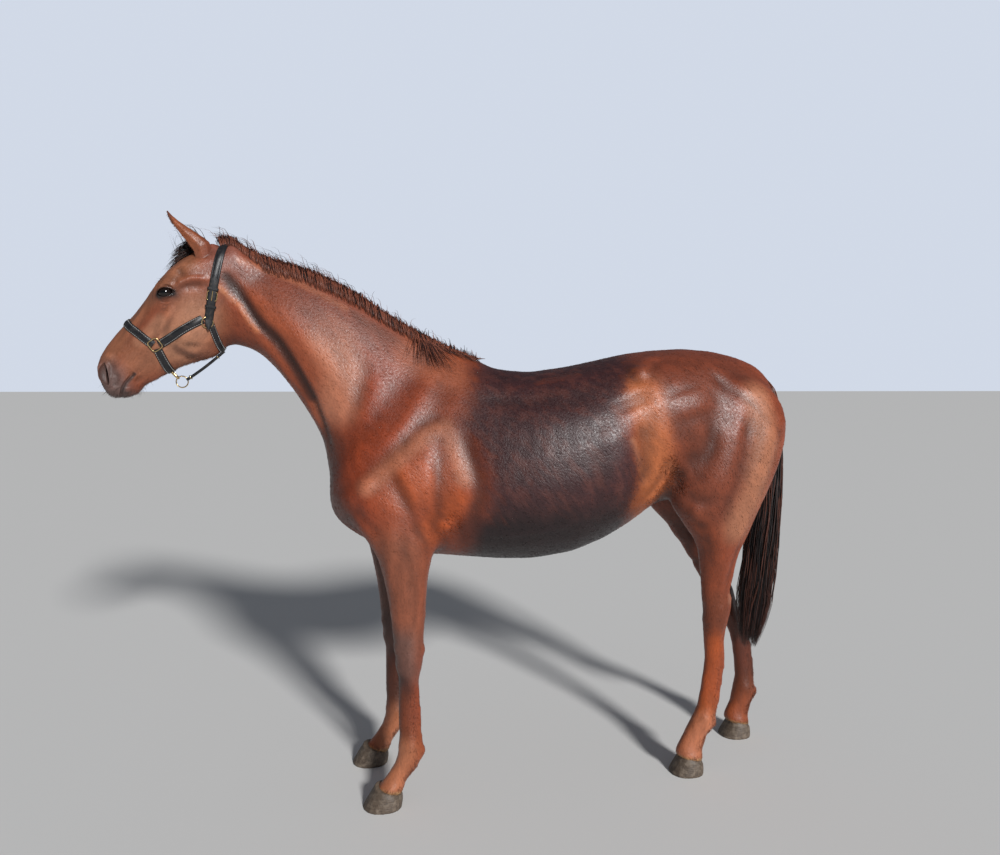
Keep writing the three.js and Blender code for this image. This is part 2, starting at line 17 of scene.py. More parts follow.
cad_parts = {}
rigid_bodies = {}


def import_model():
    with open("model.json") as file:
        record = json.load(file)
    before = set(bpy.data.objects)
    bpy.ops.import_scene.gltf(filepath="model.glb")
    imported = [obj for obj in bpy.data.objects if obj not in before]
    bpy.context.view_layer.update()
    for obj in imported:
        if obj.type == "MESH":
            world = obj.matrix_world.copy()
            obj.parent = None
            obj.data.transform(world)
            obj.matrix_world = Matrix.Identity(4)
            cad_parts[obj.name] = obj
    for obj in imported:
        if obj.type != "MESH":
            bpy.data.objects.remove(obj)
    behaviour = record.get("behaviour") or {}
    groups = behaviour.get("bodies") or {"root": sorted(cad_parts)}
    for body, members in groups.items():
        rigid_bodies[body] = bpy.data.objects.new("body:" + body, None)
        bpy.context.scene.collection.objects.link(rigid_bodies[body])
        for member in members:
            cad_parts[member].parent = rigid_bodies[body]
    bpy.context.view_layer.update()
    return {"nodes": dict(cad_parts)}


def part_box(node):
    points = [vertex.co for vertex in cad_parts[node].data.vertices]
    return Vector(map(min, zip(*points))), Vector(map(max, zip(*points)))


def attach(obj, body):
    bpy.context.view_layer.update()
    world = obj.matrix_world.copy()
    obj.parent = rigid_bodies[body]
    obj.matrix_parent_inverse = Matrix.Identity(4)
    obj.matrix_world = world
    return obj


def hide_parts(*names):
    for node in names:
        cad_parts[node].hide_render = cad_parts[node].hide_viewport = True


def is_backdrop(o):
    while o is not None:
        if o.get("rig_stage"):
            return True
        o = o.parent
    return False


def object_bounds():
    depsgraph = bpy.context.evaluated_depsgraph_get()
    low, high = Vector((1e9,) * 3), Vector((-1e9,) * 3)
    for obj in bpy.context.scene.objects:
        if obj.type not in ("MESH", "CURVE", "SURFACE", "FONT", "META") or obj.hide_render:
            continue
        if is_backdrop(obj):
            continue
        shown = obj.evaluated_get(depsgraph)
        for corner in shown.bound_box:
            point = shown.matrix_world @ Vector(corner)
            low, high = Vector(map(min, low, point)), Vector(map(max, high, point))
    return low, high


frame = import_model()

nodes = frame["nodes"]
LEGS = ["foreleg_left", "foreleg_right", "hindleg_left", "hindleg_right"]

# %% [markdown]
# ## Working habits
# Blender's operators act on whatever is selected, so every step begins by choosing its piece.
# A modifier is added, set and applied in one go, which leaves a plain mesh behind. Moving tens of
# thousands of vertices one by one is slow, so a mesh is read and written as whole arrays.


# %% Choose a piece, and finish it with a modifier
def choose(*pieces):
    """Selects these pieces and nothing else, and makes the last one active."""
    bpy.ops.object.select_all(action="DESELECT")
    for piece in pieces:
        piece.select_set(True)
    bpy.context.view_layer.objects.active = pieces[-1]
    return pieces[-1]


def modify(piece, kind, **settings):
    """Adds a modifier to a piece, sets it and applies it."""
    choose(piece)
    bpy.ops.object.modifier_add(type=kind)
    modifier = piece.modifiers[-1]
    for name, value in settings.items():
        setattr(modifier, name, value)
    bpy.ops.object.modifier_apply(modifier=modifier.name)
    return piece


def edit(piece, *steps):
    """Runs edit-mode operators, each a function, on a piece that is selected all over."""
    choose(piece)
    bpy.ops.object.mode_set(mode="EDIT")
    bpy.ops.mesh.select_all(action="SELECT")
    for step in steps:
        step()
    bpy.ops.object.mode_set(mode="OBJECT")
    return piece


def face_out(piece):
    """Turns every face of a piece outwards."""
    return edit(piece, lambda: bpy.ops.mesh.normals_make_consistent(inside=False))


def name_piece(piece, name):
    """Gives a piece and its mesh the same name."""
    piece.name = name
    piece.data.name = name
    return piece


# %% Read and write a mesh as arrays
def read_all(parts, key, width=1, kind=float):
    """One value, or a row of width values, from each of a mesh's vertices, edges, faces or corners."""
    values = np.empty(len(parts) * width, kind)
    parts.foreach_get(key, values)
    return values.reshape(-1, width) if width > 1 else values


def places(piece):
    """Every vertex of a piece, as rows of x, y, z."""
    return read_all(piece.data.vertices, "co", 3)


def directions(piece):
    """Every vertex's normal."""
    return read_all(piece.data.vertices, "normal", 3)


def edges_of(piece):
    """The two vertices of every edge."""
    return read_all(piece.data.edges, "vertices", 2, int)


def put(piece, rows):
    """Moves every vertex of a piece to its row."""
    piece.data.vertices.foreach_set("co", np.asarray(rows, float).ravel())
    piece.data.update()
    return piece


def fade(value, start, end):
    """0 before start, 1 after end, and a smooth step between; it also runs backwards."""
    share = np.clip((value - start) / (end - start), 0, 1)
    return share * share * (3 - 2 * share)


def divide_faces(piece, wanted):
    """Divides the faces whose middle is wanted, and says how many they were."""
    mask = wanted(read_all(piece.data.polygons, "center", 3))
    choose(piece)
    bpy.ops.object.mode_set(mode="EDIT")
    bpy.ops.mesh.select_mode(type="FACE")
    bpy.ops.mesh.select_all(action="DESELECT")
    bpy.ops.object.mode_set(mode="OBJECT")
    piece.data.polygons.foreach_set("select", mask)
    bpy.ops.object.mode_set(mode="EDIT")
    bpy.ops.mesh.subdivide(number_cuts=1)
    bpy.ops.object.mode_set(mode="OBJECT")
    return int(mask.sum())


def weigh(piece, name, weights):
    """A vertex group with one weight for each vertex, for a modifier to follow."""
    group = piece.vertex_groups.new(name=name)
    for index, weight in enumerate(np.round(weights, 3)):
        group.add([index], weight, "REPLACE")
    return name


# %% [markdown]
# ## The skin, first pass
# On the animal one skin runs from the lips to the coronets. The solids could be joined with
# booleans, but their facets would stay. A voxel remesh of grown copies gives one even mesh of
# squares instead, and the Smooth modifier then melts the facets. Strong smoothing shrinks a
# shape, so the skin is afterwards moved back until it lies a coat's depth inside the solids.
# The legs and head are smoothed less than the trunk, because their forms are smaller.

# %% Copy the flesh and remesh it in one piece
GROW = 0.0005  # closes the thin cuts between the parts
VOXEL = 0.0092
COAT_DEPTH = 0.0022


def copy_nodes(*names):
    """Copies of CAD nodes, merged and joined into one new piece."""
    choose(*[nodes[name] for name in names])
    bpy.ops.object.duplicate()
    copies = list(bpy.context.selected_objects)
    for piece in copies:
        piece.parent = None
        for key in [key for key in piece.keys() if key.startswith("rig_")]:
            del piece[key]
    piece = choose(*copies)
    if len(copies) > 1:
        bpy.ops.object.join()
    piece.data.materials.clear()
    return edit(piece, lambda: bpy.ops.mesh.remove_doubles(threshold=1e-5))


FLESH = ["head", "neck", "trunk"] + [leg + part for leg in LEGS for part in ("_upper", "_lower")]
solids = name_piece(copy_nodes(*FLESH, "eye_left", "eye_right"), "solids")  # the eyes fill their sockets
solid_tree = BVHTree.FromObject(solids, bpy.context.evaluated_depsgraph_get())

choose(solids)
bpy.ops.object.duplicate()
skin = name_piece(bpy.context.object, "horse_skin")
modify(skin, "DISPLACE", strength=GROW, mid_level=0)
modify(skin, "REMESH", mode="VOXEL", voxel_size=VOXEL, use_smooth_shade=True)
print("skin after the remesh:", len(skin.data.polygons), "faces")


# %% Landmarks of the body
eye_low, eye_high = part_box("eye_left")
EYE = (eye_low + eye_high) / 2
EYE_RADIUS = (eye_high.z - eye_low.z) / 2
EYE_MIDDLES = {side: np.array((EYE.x, side * abs(EYE.y), EYE.z)) for side in (-1, 1)}  # left, right
print("eyes at height", round(EYE.z, 3), "and", round(EYE_RADIUS * 2000), "mm across")


def share_of_head(rows):
    """1 on the head, 0 on the neck, with a soft change behind the jaw."""
    return fade(rows[:, 0] - 0.25 * (rows[:, 2] - 1.75), -0.84, -0.89) * fade(rows[:, 2], 1.4, 1.45)


def share_of_leg(rows):
    """1 on the limbs, 0 on the trunk and the belly between them."""
    share = fade(rows[:, 2], 0.84, 0.80)
    for leg in LEGS:
        low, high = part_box(leg + "_upper")
        below = fade(rows[:, 2], high.z + 0.10, high.z - 0.02)
        ahead = fade(rows[:, 0], low.x - 0.05, low.x - 0.01)
        share = np.maximum(share, below * ahead * fade(rows[:, 0], high.x + 0.04, high.x))
    return share


# %% Melt the facets
rows = places(skin)
broad = np.clip(1 - 0.88 * share_of_leg(rows) - 0.8 * share_of_head(rows), 0.05, 1)
modify(skin, "SMOOTH", factor=0.5, iterations=70, vertex_group=weigh(skin, "broad", broad))
print("smoothed; the trunk fully, the legs at", round(float(broad.min()), 2))

# %% Refine the head, where the forms are small
head_faces = divide_faces(skin, lambda rows: share_of_head(rows) > 0.5)
print("head faces refined:", head_faces, "skin:", len(skin.data.polygons), "faces")


# %% Set the skin back to a coat's depth inside the solids
def average(values, edges, rounds):
    """Softens one value per vertex by taking the mean over its neighbours, again and again."""
    values = values.copy()
    count = np.bincount(edges.ravel(), minlength=len(values)) + 1.0
    for _ in range(rounds):
        total = values + np.bincount(edges[:, 0], values[edges[:, 1]], len(values))
        total += np.bincount(edges[:, 1], values[edges[:, 0]], len(values))
        values = total / count
    return values


def outside(rows, tree):
    """How far each place lies outside a solid; inside it is negative."""
    gaps = np.empty(len(rows))
    for index, row in enumerate(rows):
        place = Vector(row)
        spot, normal, _, gap = tree.find_nearest(place)
        gaps[index] = math.copysign(gap, (place - spot).dot(normal))
    return gaps


def settle(piece, tree, depth, rounds, share):
    """Moves a share of a piece along its normals until it lies depth inside, over soft patches."""
    rows = places(piece)
    gap = average(np.clip(outside(rows, tree), -0.03, 0.03), edges_of(piece), rounds)
    put(piece, rows - directions(piece) * ((gap + depth) * share)[:, None])
    return piece


rows = places(skin)
small = np.clip(share_of_leg(rows) + share_of_head(rows), 0, 1)
BROAD_ROUNDS, FINE_ROUNDS = 130, 14
settle(skin, solid_tree, COAT_DEPTH, BROAD_ROUNDS, 1 - small)
settle(skin, solid_tree, COAT_DEPTH, FINE_ROUNDS, small)
left = outside(places(skin)[::40], solid_tree) * 1000
print("skin lies", round(float(left.mean()), 2), "mm from the solids, from",
      round(float(left.min()), 1), "to", round(float(left.max()), 1))

# %% [markdown]
# ## Muscles, bones and folds
# So far the skin is a smooth shell. The life of a horse is in what lies under it: the shoulder
# blade, the triceps, the jugular groove, the hip, the stifle, the bones of the face. A sculptor
# would push these in by thumb. Here each one is a stroke: a path over the skin, a width and a
# height. The strokes of one table are measured on the same skin, added up, and pushed along the
# normals once, so their order doesn't matter.


# %% A stroke of the thumb
def near_path(rows, path):
    """Each place's distance from a path, and its share of the way along it."""
    path = np.asarray(path, float)
    if len(path) == 1:
        return np.linalg.norm(rows - path[0], axis=1), np.full(len(rows), 0.5)
    lengths = np.linalg.norm(np.diff(path, axis=0), axis=1)
    starts = np.concatenate([[0], np.cumsum(lengths)])
    gap = np.full(len(rows), np.inf)
    share = np.zeros(len(rows))
    for start, step, length, before in zip(path, np.diff(path, axis=0), lengths, starts):
        run = np.clip((rows - start) @ step / length**2, 0, 1)
        here = np.linalg.norm(rows - start - run[:, None] * step, axis=1)
        closer = here < gap
        gap[closer] = here[closer]
        share[closer] = (before + run[closer] * length) / starts[-1]
    return gap, share


def thumb(rows, path, width, height, flat=2.0):
    """How far a stroke moves each place; a larger flat gives a broad top and steeper edges."""
    path = np.asarray(path, float)
    near = np.all((rows > path.min(0) - width) & (rows < path.max(0) + width), axis=1)
    push = np.zeros(len(rows))
    if near.any():
        gap, share = near_path(rows[near], path)
        across = np.clip(1 - (gap / width) ** flat, 0, 1) ** 2
        ends = 1.0 if len(path) == 1 else fade(share, -0.1, 0.25) * fade(share, 1.1, 0.75)
        push[near] = height * across * ends
    return push


def tree_of(piece):
    """A piece's surface, ready for finding the nearest place or the place that a ray meets."""
    return BVHTree.FromObject(piece, bpy.context.evaluated_depsgraph_get())


def on_side(tree, x, z, side):
    """The place on a surface that is met at x, z when coming from the left (-1) or right (1)."""
    return tree.ray_cast(Vector((x, side * 1.0, z)), Vector((0, -side, 0)))[0]


# %% Strokes of the body: width and height in mm, then places (x, z) in metres, on both sides
JUGULAR = [(-0.845, 1.886), (-0.821, 1.852), (-0.795, 1.817), (-0.769, 1.777), (-0.738, 1.729),
           (-0.673, 1.662), (-0.622, 1.578), (-0.564, 1.468), (-0.53, 1.38), (-0.50, 1.28)]
BEHIND_JAW = [(-0.869, 1.849), (-0.834, 1.816), (-0.799, 1.786), (-0.779, 1.746), (-0.763, 1.711),
              (-0.741, 1.672)]
BODY = {
    "neck muscle": (85, 7, [(-0.72, 1.83), (-0.61, 1.70), (-0.52, 1.58), (-0.48, 1.49), (-0.44, 1.34)]),
    "jugular groove": (30, -11, JUGULAR),
    "ridge behind the jaw": (11, 2.6, BEHIND_JAW),
    "windpipe": (26, 4, [(-0.741, 1.672), (-0.685, 1.60), (-0.635, 1.515), (-0.58, 1.41)]),
    "groove before the shoulder": (42, -3.5, [(-0.40, 1.62), (-0.375, 1.55), (-0.40, 1.46), (-0.44, 1.34)]),
    "front edge of the blade": (36, 1.4, [(-0.29, 1.56), (-0.34, 1.475), (-0.39, 1.36)]),
    "ridge of the blade": (40, 2.2, [(-0.13, 1.56), (-0.19, 1.45), (-0.25, 1.35), (-0.32, 1.25)]),
    "hollow behind the blade's ridge": (52, -2.2, [(-0.07, 1.52), (-0.13, 1.42), (-0.20, 1.36)]),
    "triceps": (170, 15, [(-0.25, 1.14), (-0.16, 1.18), (-0.13, 1.18)]),
    "groove over the triceps": (42, -4, [(-0.37, 1.20), (-0.30, 1.26), (-0.24, 1.32), (-0.19, 1.37),
                                         (-0.13, 1.39), (-0.07, 1.39)]),
    "groove behind the triceps": (48, -7, [(-0.04, 1.36), (-0.02, 1.28), (0.01, 1.19), (0.015, 1.12),
                                           (-0.005, 1.06), (-0.02, 0.99)]),
    "point of the shoulder": (60, 8, [(-0.39, 1.17), (-0.365, 1.14)]),
    "groove below the shoulder": (30, -5, [(-0.42, 1.10), (-0.396, 1.07), (-0.36, 1.03), (-0.32, 1.0)]),
    "breast": (80, 6, [(-0.46, 1.13), (-0.43, 1.06)]),
    "elbow": (36, 11, [(-0.105, 1.04), (-0.095, 1.0)]),
    "crease before the elbow": (22, -7, [(-0.215, 1.04), (-0.19, 0.99), (-0.165, 0.95), (-0.158, 0.91)]),
    "girth fold": (28, -4, [(-0.055, 1.03), (-0.04, 0.98), (-0.03, 0.93)]),
    "extensor of the forearm": (34, 6, [(-0.285, 1.03), (-0.287, 0.95), (-0.295, 0.87), (-0.285, 0.78)]),
    "groove in the forearm": (16, -4, [(-0.243, 1.0), (-0.235, 0.93), (-0.225, 0.87), (-0.225, 0.76)]),
    "long muscle of the back": (70, 5, [(-0.04, 1.52), (0.15, 1.50), (0.35, 1.52), (0.52, 1.56)]),
    "edge of the back": (44, -2.5, [(0.0, 1.46), (0.15, 1.44), (0.33, 1.45), (0.48, 1.48)]),
    "skin fold on the back": (13, 3, [(0.20, 1.53), (0.26, 1.545), (0.34, 1.56)]),
    "point of the hip": (42, 12, [(0.615, 1.56)]),
    "crease before the hip": (18, -3.5, [(0.57, 1.585), (0.588, 1.545), (0.60, 1.51)]),
    "hip to croup": (36, 5, [(0.625, 1.565), (0.66, 1.60), (0.72, 1.62)]),
    "hip to stifle": (48, 5, [(0.635, 1.52), (0.66, 1.44), (0.69, 1.34), (0.715, 1.24)]),
    "hollow of the flank": (110, -6, [(0.55, 1.48), (0.575, 1.42)]),
    "flank groove": (52, -8, [(0.595, 1.38), (0.61, 1.30), (0.624, 1.22), (0.625, 1.15)]),
    "rear of the barrel": (85, 7, [(0.46, 1.37), (0.50, 1.28), (0.51, 1.2), (0.49, 1.11)]),
    "flank fold": (20, 10, [(0.715, 1.225), (0.706, 1.165), (0.675, 1.11), (0.65, 1.07)]),
    "hollow behind the fold": (34, -9, [(0.755, 1.20), (0.765, 1.13)]),
    "stifle": (44, 11, [(0.80, 1.05), (0.835, 1.03)]),
    "groove above the stifle": (34, -4, [(0.77, 1.125), (0.823, 1.095), (0.875, 1.085)]),
    "groove below the stifle": (22, -4, [(0.79, 1.0), (0.83, 0.985), (0.87, 0.99)]),
    "front of the thigh": (60, 5, [(0.735, 1.34), (0.745, 1.25), (0.79, 1.16)]),
    "gluteal muscle": (115, 8, [(0.77, 1.49), (0.80, 1.40)]),
    "thigh muscle": (75, 8, [(0.935, 1.39), (0.942, 1.29), (0.91, 1.18), (0.885, 1.10)]),
    "groove in the thigh": (44, -2.5, [(0.86, 1.43), (0.87, 1.30), (0.845, 1.20)]),
    "groove before the hamstring": (40, -5, [(1.03, 1.42), (0.99, 1.31), (0.965, 1.215), (0.94, 1.116),
                                             (0.925, 1.03)]),
    "hamstring": (60, 6, [(1.12, 1.38), (1.08, 1.25), (1.03, 1.12)]),
    "ridge to the tail": (30, 3, [(0.88, 1.60), (0.95, 1.54), (1.0, 1.506), (1.06, 1.466)]),
    "hollow under that ridge": (34, -3.5, [(0.89, 1.555), (0.94, 1.505), (1.0, 1.47), (1.06, 1.42)]),
    "point of the buttock": (46, 8, [(1.165, 1.375)]),
    "gaskin muscle": (46, 7, [(0.90, 0.99), (0.92, 0.90), (0.93, 0.82)]),
    "groove above the hock": (22, -7, [(1.015, 0.93), (1.0, 0.84), (0.985, 0.77), (0.98, 0.72)]),
    "vein of the gaskin": (8, 3, [(0.905, 0.93), (0.915, 0.86), (0.935, 0.80), (0.94, 0.74)]),
    "belly vein": (9, 3, [(-0.02, 0.985), (0.10, 0.98), (0.21, 0.99), (0.31, 1.01), (0.40, 1.06)]),
}
RIBS = 9
for rib in range(RIBS):
    start = 0.07 + 0.05 * rib
    BODY[f"rib {rib + 1}"] = (19, 0.6, [(start, 1.42), (start - 0.015, 1.30), (start - 0.06, 1.12)])
FLAT_TOPPED = {"triceps": 2.6, "thigh muscle": 2.6, "gluteal muscle": 2.4, "masseter": 3.2}
print("strokes on each side of the body:", len(BODY))

# %% Strokes of the head: places in mm behind and above the middle of the eye
HEAD = {
    "cheek bone": (15, 6.5, [(38, 18), (57, 40), (86, 51), (111, 51), (135, 52)]),
    "hollow over the eye": (32, -6, [(40, 66), (60, 80)]),
    "hollow under the cheek bone": (20, -3, [(62, 18), (90, 26), (118, 26)]),
    "brow": (17, 3.8, [(-37, 2), (-27, 27), (-4, 37), (22, 33), (42, 16)]),
    "facial crest": (15, 5, [(18, -52), (5, -73), (-11, -99), (-27, -126), (-36, -142)]),
    "hollow before the crest": (28, -1.8, [(-14, -72), (-32, -104), (-48, -130)]),
    "tear line": (5, -1.8, [(-24, -25), (-4, -32), (17, -28)]),
    "lower tear line": (5, -1.2, [(-18, -37), (2, -43), (20, -37)]),
    "masseter": (64, 7, [(62, -105), (84, -140), (80, -172)]),
    "front of the masseter": (22, -3, [(14, -75), (-6, -106), (-12, -140), (-7, -175), (18, -197)]),
    "hollow below the masseter": (24, -3, [(30, -197), (52, -214), (82, -221)]),
    "rim of the jaw": (15, 3.5, [(100, -222), (132, -212), (160, -190), (176, -150), (180, -110)]),
    "side of the nose": (20, 3.5, [(-72, -40), (-115, -100), (-155, -155)]),
    "hollow under the nose bone": (34, -2.5, [(-66, -84), (-106, -140), (-140, -188)]),
    "over the nostril": (26, 4, [(-196, -205), (-208, -222)]),
    "behind the nostril": (20, -3.5, [(-186, -236), (-190, -262), (-186, -286)]),
    "nostril wing": (9, 5, [(-214, -230), (-203, -248), (-203, -276), (-208, -300)]),
    "nostril rim": (9, 5, [(-226, -231), (-235, -250), (-232, -282), (-222, -305)]),
    "upper lip": (28, 4, [(-196, -318), (-186, -332)]),
    "lip fold": (14, -3, [(-170, -268), (-178, -296), (-184, -318)]),
    "lower lip": (18, 4, [(-146, -318), (-152, -338)]),
    "chin": (27, 6, [(-98, -318), (-112, -330)]),
    "chin groove": (15, -4, [(-122, -306), (-112, -294), (-98, -286)]),
    "mouth wrinkle": (5, -2, [(-120, -256), (-112, -272), (-114, -290)]),
    "outer mouth wrinkle": (5, -1.5, [(-112, -250), (-102, -268), (-103, -288)]),
    "face vein": (7, 1.3, [(-40, -100), (-36, -125), (-22, -150), (-2, -178), (8, -205)]),
    "behind the ear": (34, 9, [(112, 150), (130, 158)]),
    "upper face vein": (7, 0.8, [(-40, -100), (-48, -78), (-44, -52)]),
}
print("strokes on each side of the head:", len(HEAD))


# %% Push all of them in at once
def sculpt(piece, paths, soften):
    """Adds up strokes, each a width, a height and a path, and moves the piece along its normals."""
    rows = places(piece)
    push = np.zeros(len(rows))
    for name, width, height, path in paths:
        push += thumb(rows, path, width / 1000, height / 1000, FLAT_TOPPED.get(name, 2.0))
    push = average(push, edges_of(piece), soften)
    put(piece, rows + directions(piece) * push[:, None])
    return f"{len(paths)} strokes, {push.min() * 1000:.1f} to {push.max() * 1000:.1f} mm"


def both_sides(piece, strokes, to_place, strength=1.0):
    """Lays the strokes of a table on the left and the right side of the piece."""
    tree = tree_of(piece)
    for side in (-1, 1):
        for name, (width, height, dots) in strokes.items():
            path = [on_side(tree, *to_place(dot), side) for dot in dots]
            path = [spot for spot in path if spot is not None]
            if path:
                yield name, width, height * strength, path


def from_eye(dot):
    """A place (x, z) in metres, from mm behind and above the eye."""
    return EYE.x + dot[0] / 1000, EYE.z + dot[1] / 1000


print("body:", sculpt(skin, list(both_sides(skin, BODY, lambda dot: dot, 1.15)), 3))

# %% [markdown]
# The legs are nearly round, so their strokes are told by height and by a turn round the leg:
# 0 degrees is the front, 90 the outside, 180 the rear and 270 the inside. Each leg is measured
# on the skin at that height, and one table serves the left and the right leg.

# %% Strokes of the legs: width and height in mm, then (height in metres, turn in degrees)
CANNON = {
    "groove of the cannon, outside": (10, -3.5, [(0.46, 122), (0.36, 122), (0.27, 120)]),
    "groove of the cannon, inside": (10, -3.5, [(0.46, 238), (0.36, 238), (0.27, 240)]),
    "tendon": (17, 8.5, [(0.45, 180), (0.36, 180), (0.30, 180), (0.245, 180)]),
    "fetlock, outside": (27, 3.5, [(0.21, 85)]),
    "fetlock, inside": (27, 3.5, [(0.21, 275)]),
    "fetlock, rear": (23, 9, [(0.196, 155), (0.189, 180), (0.196, 205)]),
    "over the fetlock": (20, -2, [(0.258, 330), (0.260, 0), (0.258, 30)]),
    "front of the fetlock": (22, 2.5, [(0.212, 335), (0.212, 0), (0.212, 25)]),
    "groove of the fetlock": (9, -2.5, [(0.24, 128), (0.215, 132), (0.185, 128)]),
    "inner groove of the fetlock": (9, -2.5, [(0.24, 232), (0.215, 228), (0.185, 232)]),
    "front of the pastern": (16, -2, [(0.145, 330), (0.15, 0), (0.145, 30)]),
    "hollow of the pastern": (21, -9, [(0.150, 158), (0.145, 180), (0.150, 202)]),
}
FORE = {
    "upper knee": (26, 3.5, [(0.572, 325), (0.575, 0), (0.572, 35)]),
    "groove across the knee": (9, -2.2, [(0.54, 295), (0.545, 0), (0.54, 65)]),
    "lower knee": (24, 3.5, [(0.505, 320), (0.505, 0), (0.505, 40)]),
    "below the knee": (14, -2.5, [(0.468, 320), (0.465, 0), (0.468, 40)]),
    "bone behind the knee": (28, 6, [(0.58, 172), (0.545, 178)]),
    "forearm end, outside": (24, 4, [(0.60, 80), (0.585, 95)]),
    "forearm end, inside": (24, 4, [(0.60, 280), (0.585, 265)]),
    "groove of the forearm": (12, -4, [(0.84, 118), (0.74, 114), (0.64, 110)]),
    "forearm vein": (7, 2.5, [(0.82, 52), (0.76, 60), (0.69, 55), (0.63, 62)]),
    "inner forearm vein": (7, 2.5, [(0.80, 305), (0.70, 295), (0.62, 285)]),
    "forearm tendon": (9, 2.5, [(0.74, 20), (0.67, 12), (0.61, 8)]),
}
HIND = {
    "point of the hock": (24, 7, [(0.695, 178), (0.68, 182)]),
    "hock tendon": (13, 3, [(0.81, 180), (0.74, 180)]),
    "inner groove above the hock": (15, -5, [(0.82, 228), (0.74, 228)]),
    "hock, outside": (22, 4, [(0.65, 88)]),
    "hock, inside": (26, 5, [(0.635, 275)]),
    "front of the hock": (20, -3.5, [(0.665, 345), (0.66, 15)]),
    "hock bones": (22, 3, [(0.60, 320), (0.60, 0), (0.60, 40)]),
    "groove below the hock": (10, -3, [(0.62, 130), (0.56, 128), (0.50, 125)]),
    "inner groove below the hock": (10, -3, [(0.62, 230), (0.56, 232), (0.50, 235)]),
    "cannon vein": (6, 2, [(0.62, 300), (0.52, 310), (0.42, 305)]),
}


def leg_spot(rows, tree, leg, height, turn):
    """The place on a leg's skin at a height and a turn."""
    side = -1 if "left" in leg else 1
    fore = leg.startswith("fore")
    near = (abs(rows[:, 2] - height) < 0.009) & (rows[:, 1] * side > 0) & ((rows[:, 0] < 0.25) == fore)
    low, high = rows[near].min(0), rows[near].max(0)
    angle = math.radians(turn)
    half = (high - low) / 2
    guess = (low + high) / 2 + half * (-math.cos(angle), side * math.sin(angle), 0)
    guess[2] = height
    return tree.find_nearest(Vector(guess))[0]


def leg_paths(piece):
    """The strokes of all four legs, each with its path on the skin."""
    rows, tree = places(piece), tree_of(piece)
    for leg in LEGS:
        own = FORE if leg.startswith("fore") else HIND
        for name, (width, height, dots) in (CANNON | own).items():
            yield name, width, height, [leg_spot(rows, tree, leg, *dot) for dot in dots]


print("legs:", sculpt(skin, list(leg_paths(skin)), 1))


# %% [markdown]
# ## Eyes, nostrils and mouth
# These are the smallest forms and the ones looked at most, so the mesh is divided again round
# them before anything is cut. The lids are not drawn on: the skin is drawn over the eyeball like
# a cloth over a ball, and an almond is cut out of it, which leaves lids of a real thickness with
# the ball behind them. The corners of the almond reach past the ball, as they do on a horse.

# %% Divide the skin again round the eyes, nostrils and mouth
NOSTRIL = Vector((EYE.x - 0.217, 0.0, EYE.z - 0.274))  # in the middle plane, level with the opening
LIP_LINE = [(-0.128, -0.275), (-0.151, -0.304), (-0.163, -0.327), (-0.170, -0.343)]
LIP_FRONT = (-0.180, -0.356)  # where the lips meet under the front of the muzzle
SLIT_TILT = math.radians(9)  # the eye slit rises to the rear


def lip_places(tree, side):
    """The line between the lips, from the corner to the middle of the front, on one side."""
    front = tree.find_nearest(Vector((EYE.x + LIP_FRONT[0], 0, EYE.z + LIP_FRONT[1])))[0]
    return [on_side(tree, EYE.x + x, EYE.z + z, side) for x, z in LIP_LINE] + [front]


def close_to(dots, reach):
    """A test for faces within reach of any of these places."""
    return lambda rows: near_path(rows, [tuple(dot) for dot in dots])[0] < reach


tree = tree_of(skin)
divided = 0
for side in (-1, 1):
    eye_spot = Vector((EYE.x + 0.004, side * abs(EYE.y), EYE.z))
    nostril = on_side(tree, NOSTRIL.x, NOSTRIL.z, side)
    for dots, reaches in (([eye_spot], (0.060, 0.043)), ([nostril], (0.050, 0.038)),
                          (lip_places(tree, side), (0.028, 0.014))):
        for reach in reaches:
            divided += divide_faces(skin, close_to(dots, reach))
print("faces divided:", divided, "skin now:", len(skin.data.polygons))

# %% Bones, veins and lips of the head
tree = tree_of(skin)


def on_top(tree, x, y):
    """The place on a surface that is met at x, y when coming from above."""
    return tree.ray_cast(Vector((x, y, 3)), Vector((0, 0, -1)))[0]


poll = []
for y in (-0.026, 0.026):
    poll.append(("poll", 36, 11, [on_top(tree, x, y) for x in (-0.918, -0.898, -0.878)]))
    poll.append(("behind the ears", 20, 7, [on_top(tree, x, y / 2) for x in (-0.922, -0.904, -0.890)]))
print("head:", sculpt(skin, list(both_sides(skin, HEAD, from_eye, 1.4)) + poll, 4))


# %% Draw the lids over the eyeballs
def eye_frame(rows, side):
    """Along the slit to the rear, across it upward, and outward, from the eyeball's middle."""
    x, y, z = (rows - EYE_MIDDLES[side]).T
    cos, sin = math.cos(SLIT_TILT), math.sin(SLIT_TILT)
    return x * cos + z * sin, z * cos - x * sin, side * y


LID = 0.0026  # thickness
SLIT_HALF = 0.0295
SLIT_MIDDLE = 0.0045  # the slit's middle lies behind the eyeball's
UPPER_LID, LOWER_LID = 0.0165, -0.0145


def lid_edges(along):
    """The height of the upper and the lower lid's edge at a place along the slit."""
    share = np.clip((along - SLIT_MIDDLE) / SLIT_HALF, -1, 1)
    arch = (1 - abs(share) ** 2.1) * (1 - 0.16 * share)
    bowl = (1 - abs(share) ** 1.9) * (1 - 0.12 * share)
    return UPPER_LID * arch + 0.0015 * share, LOWER_LID * bowl + 0.0015 * share


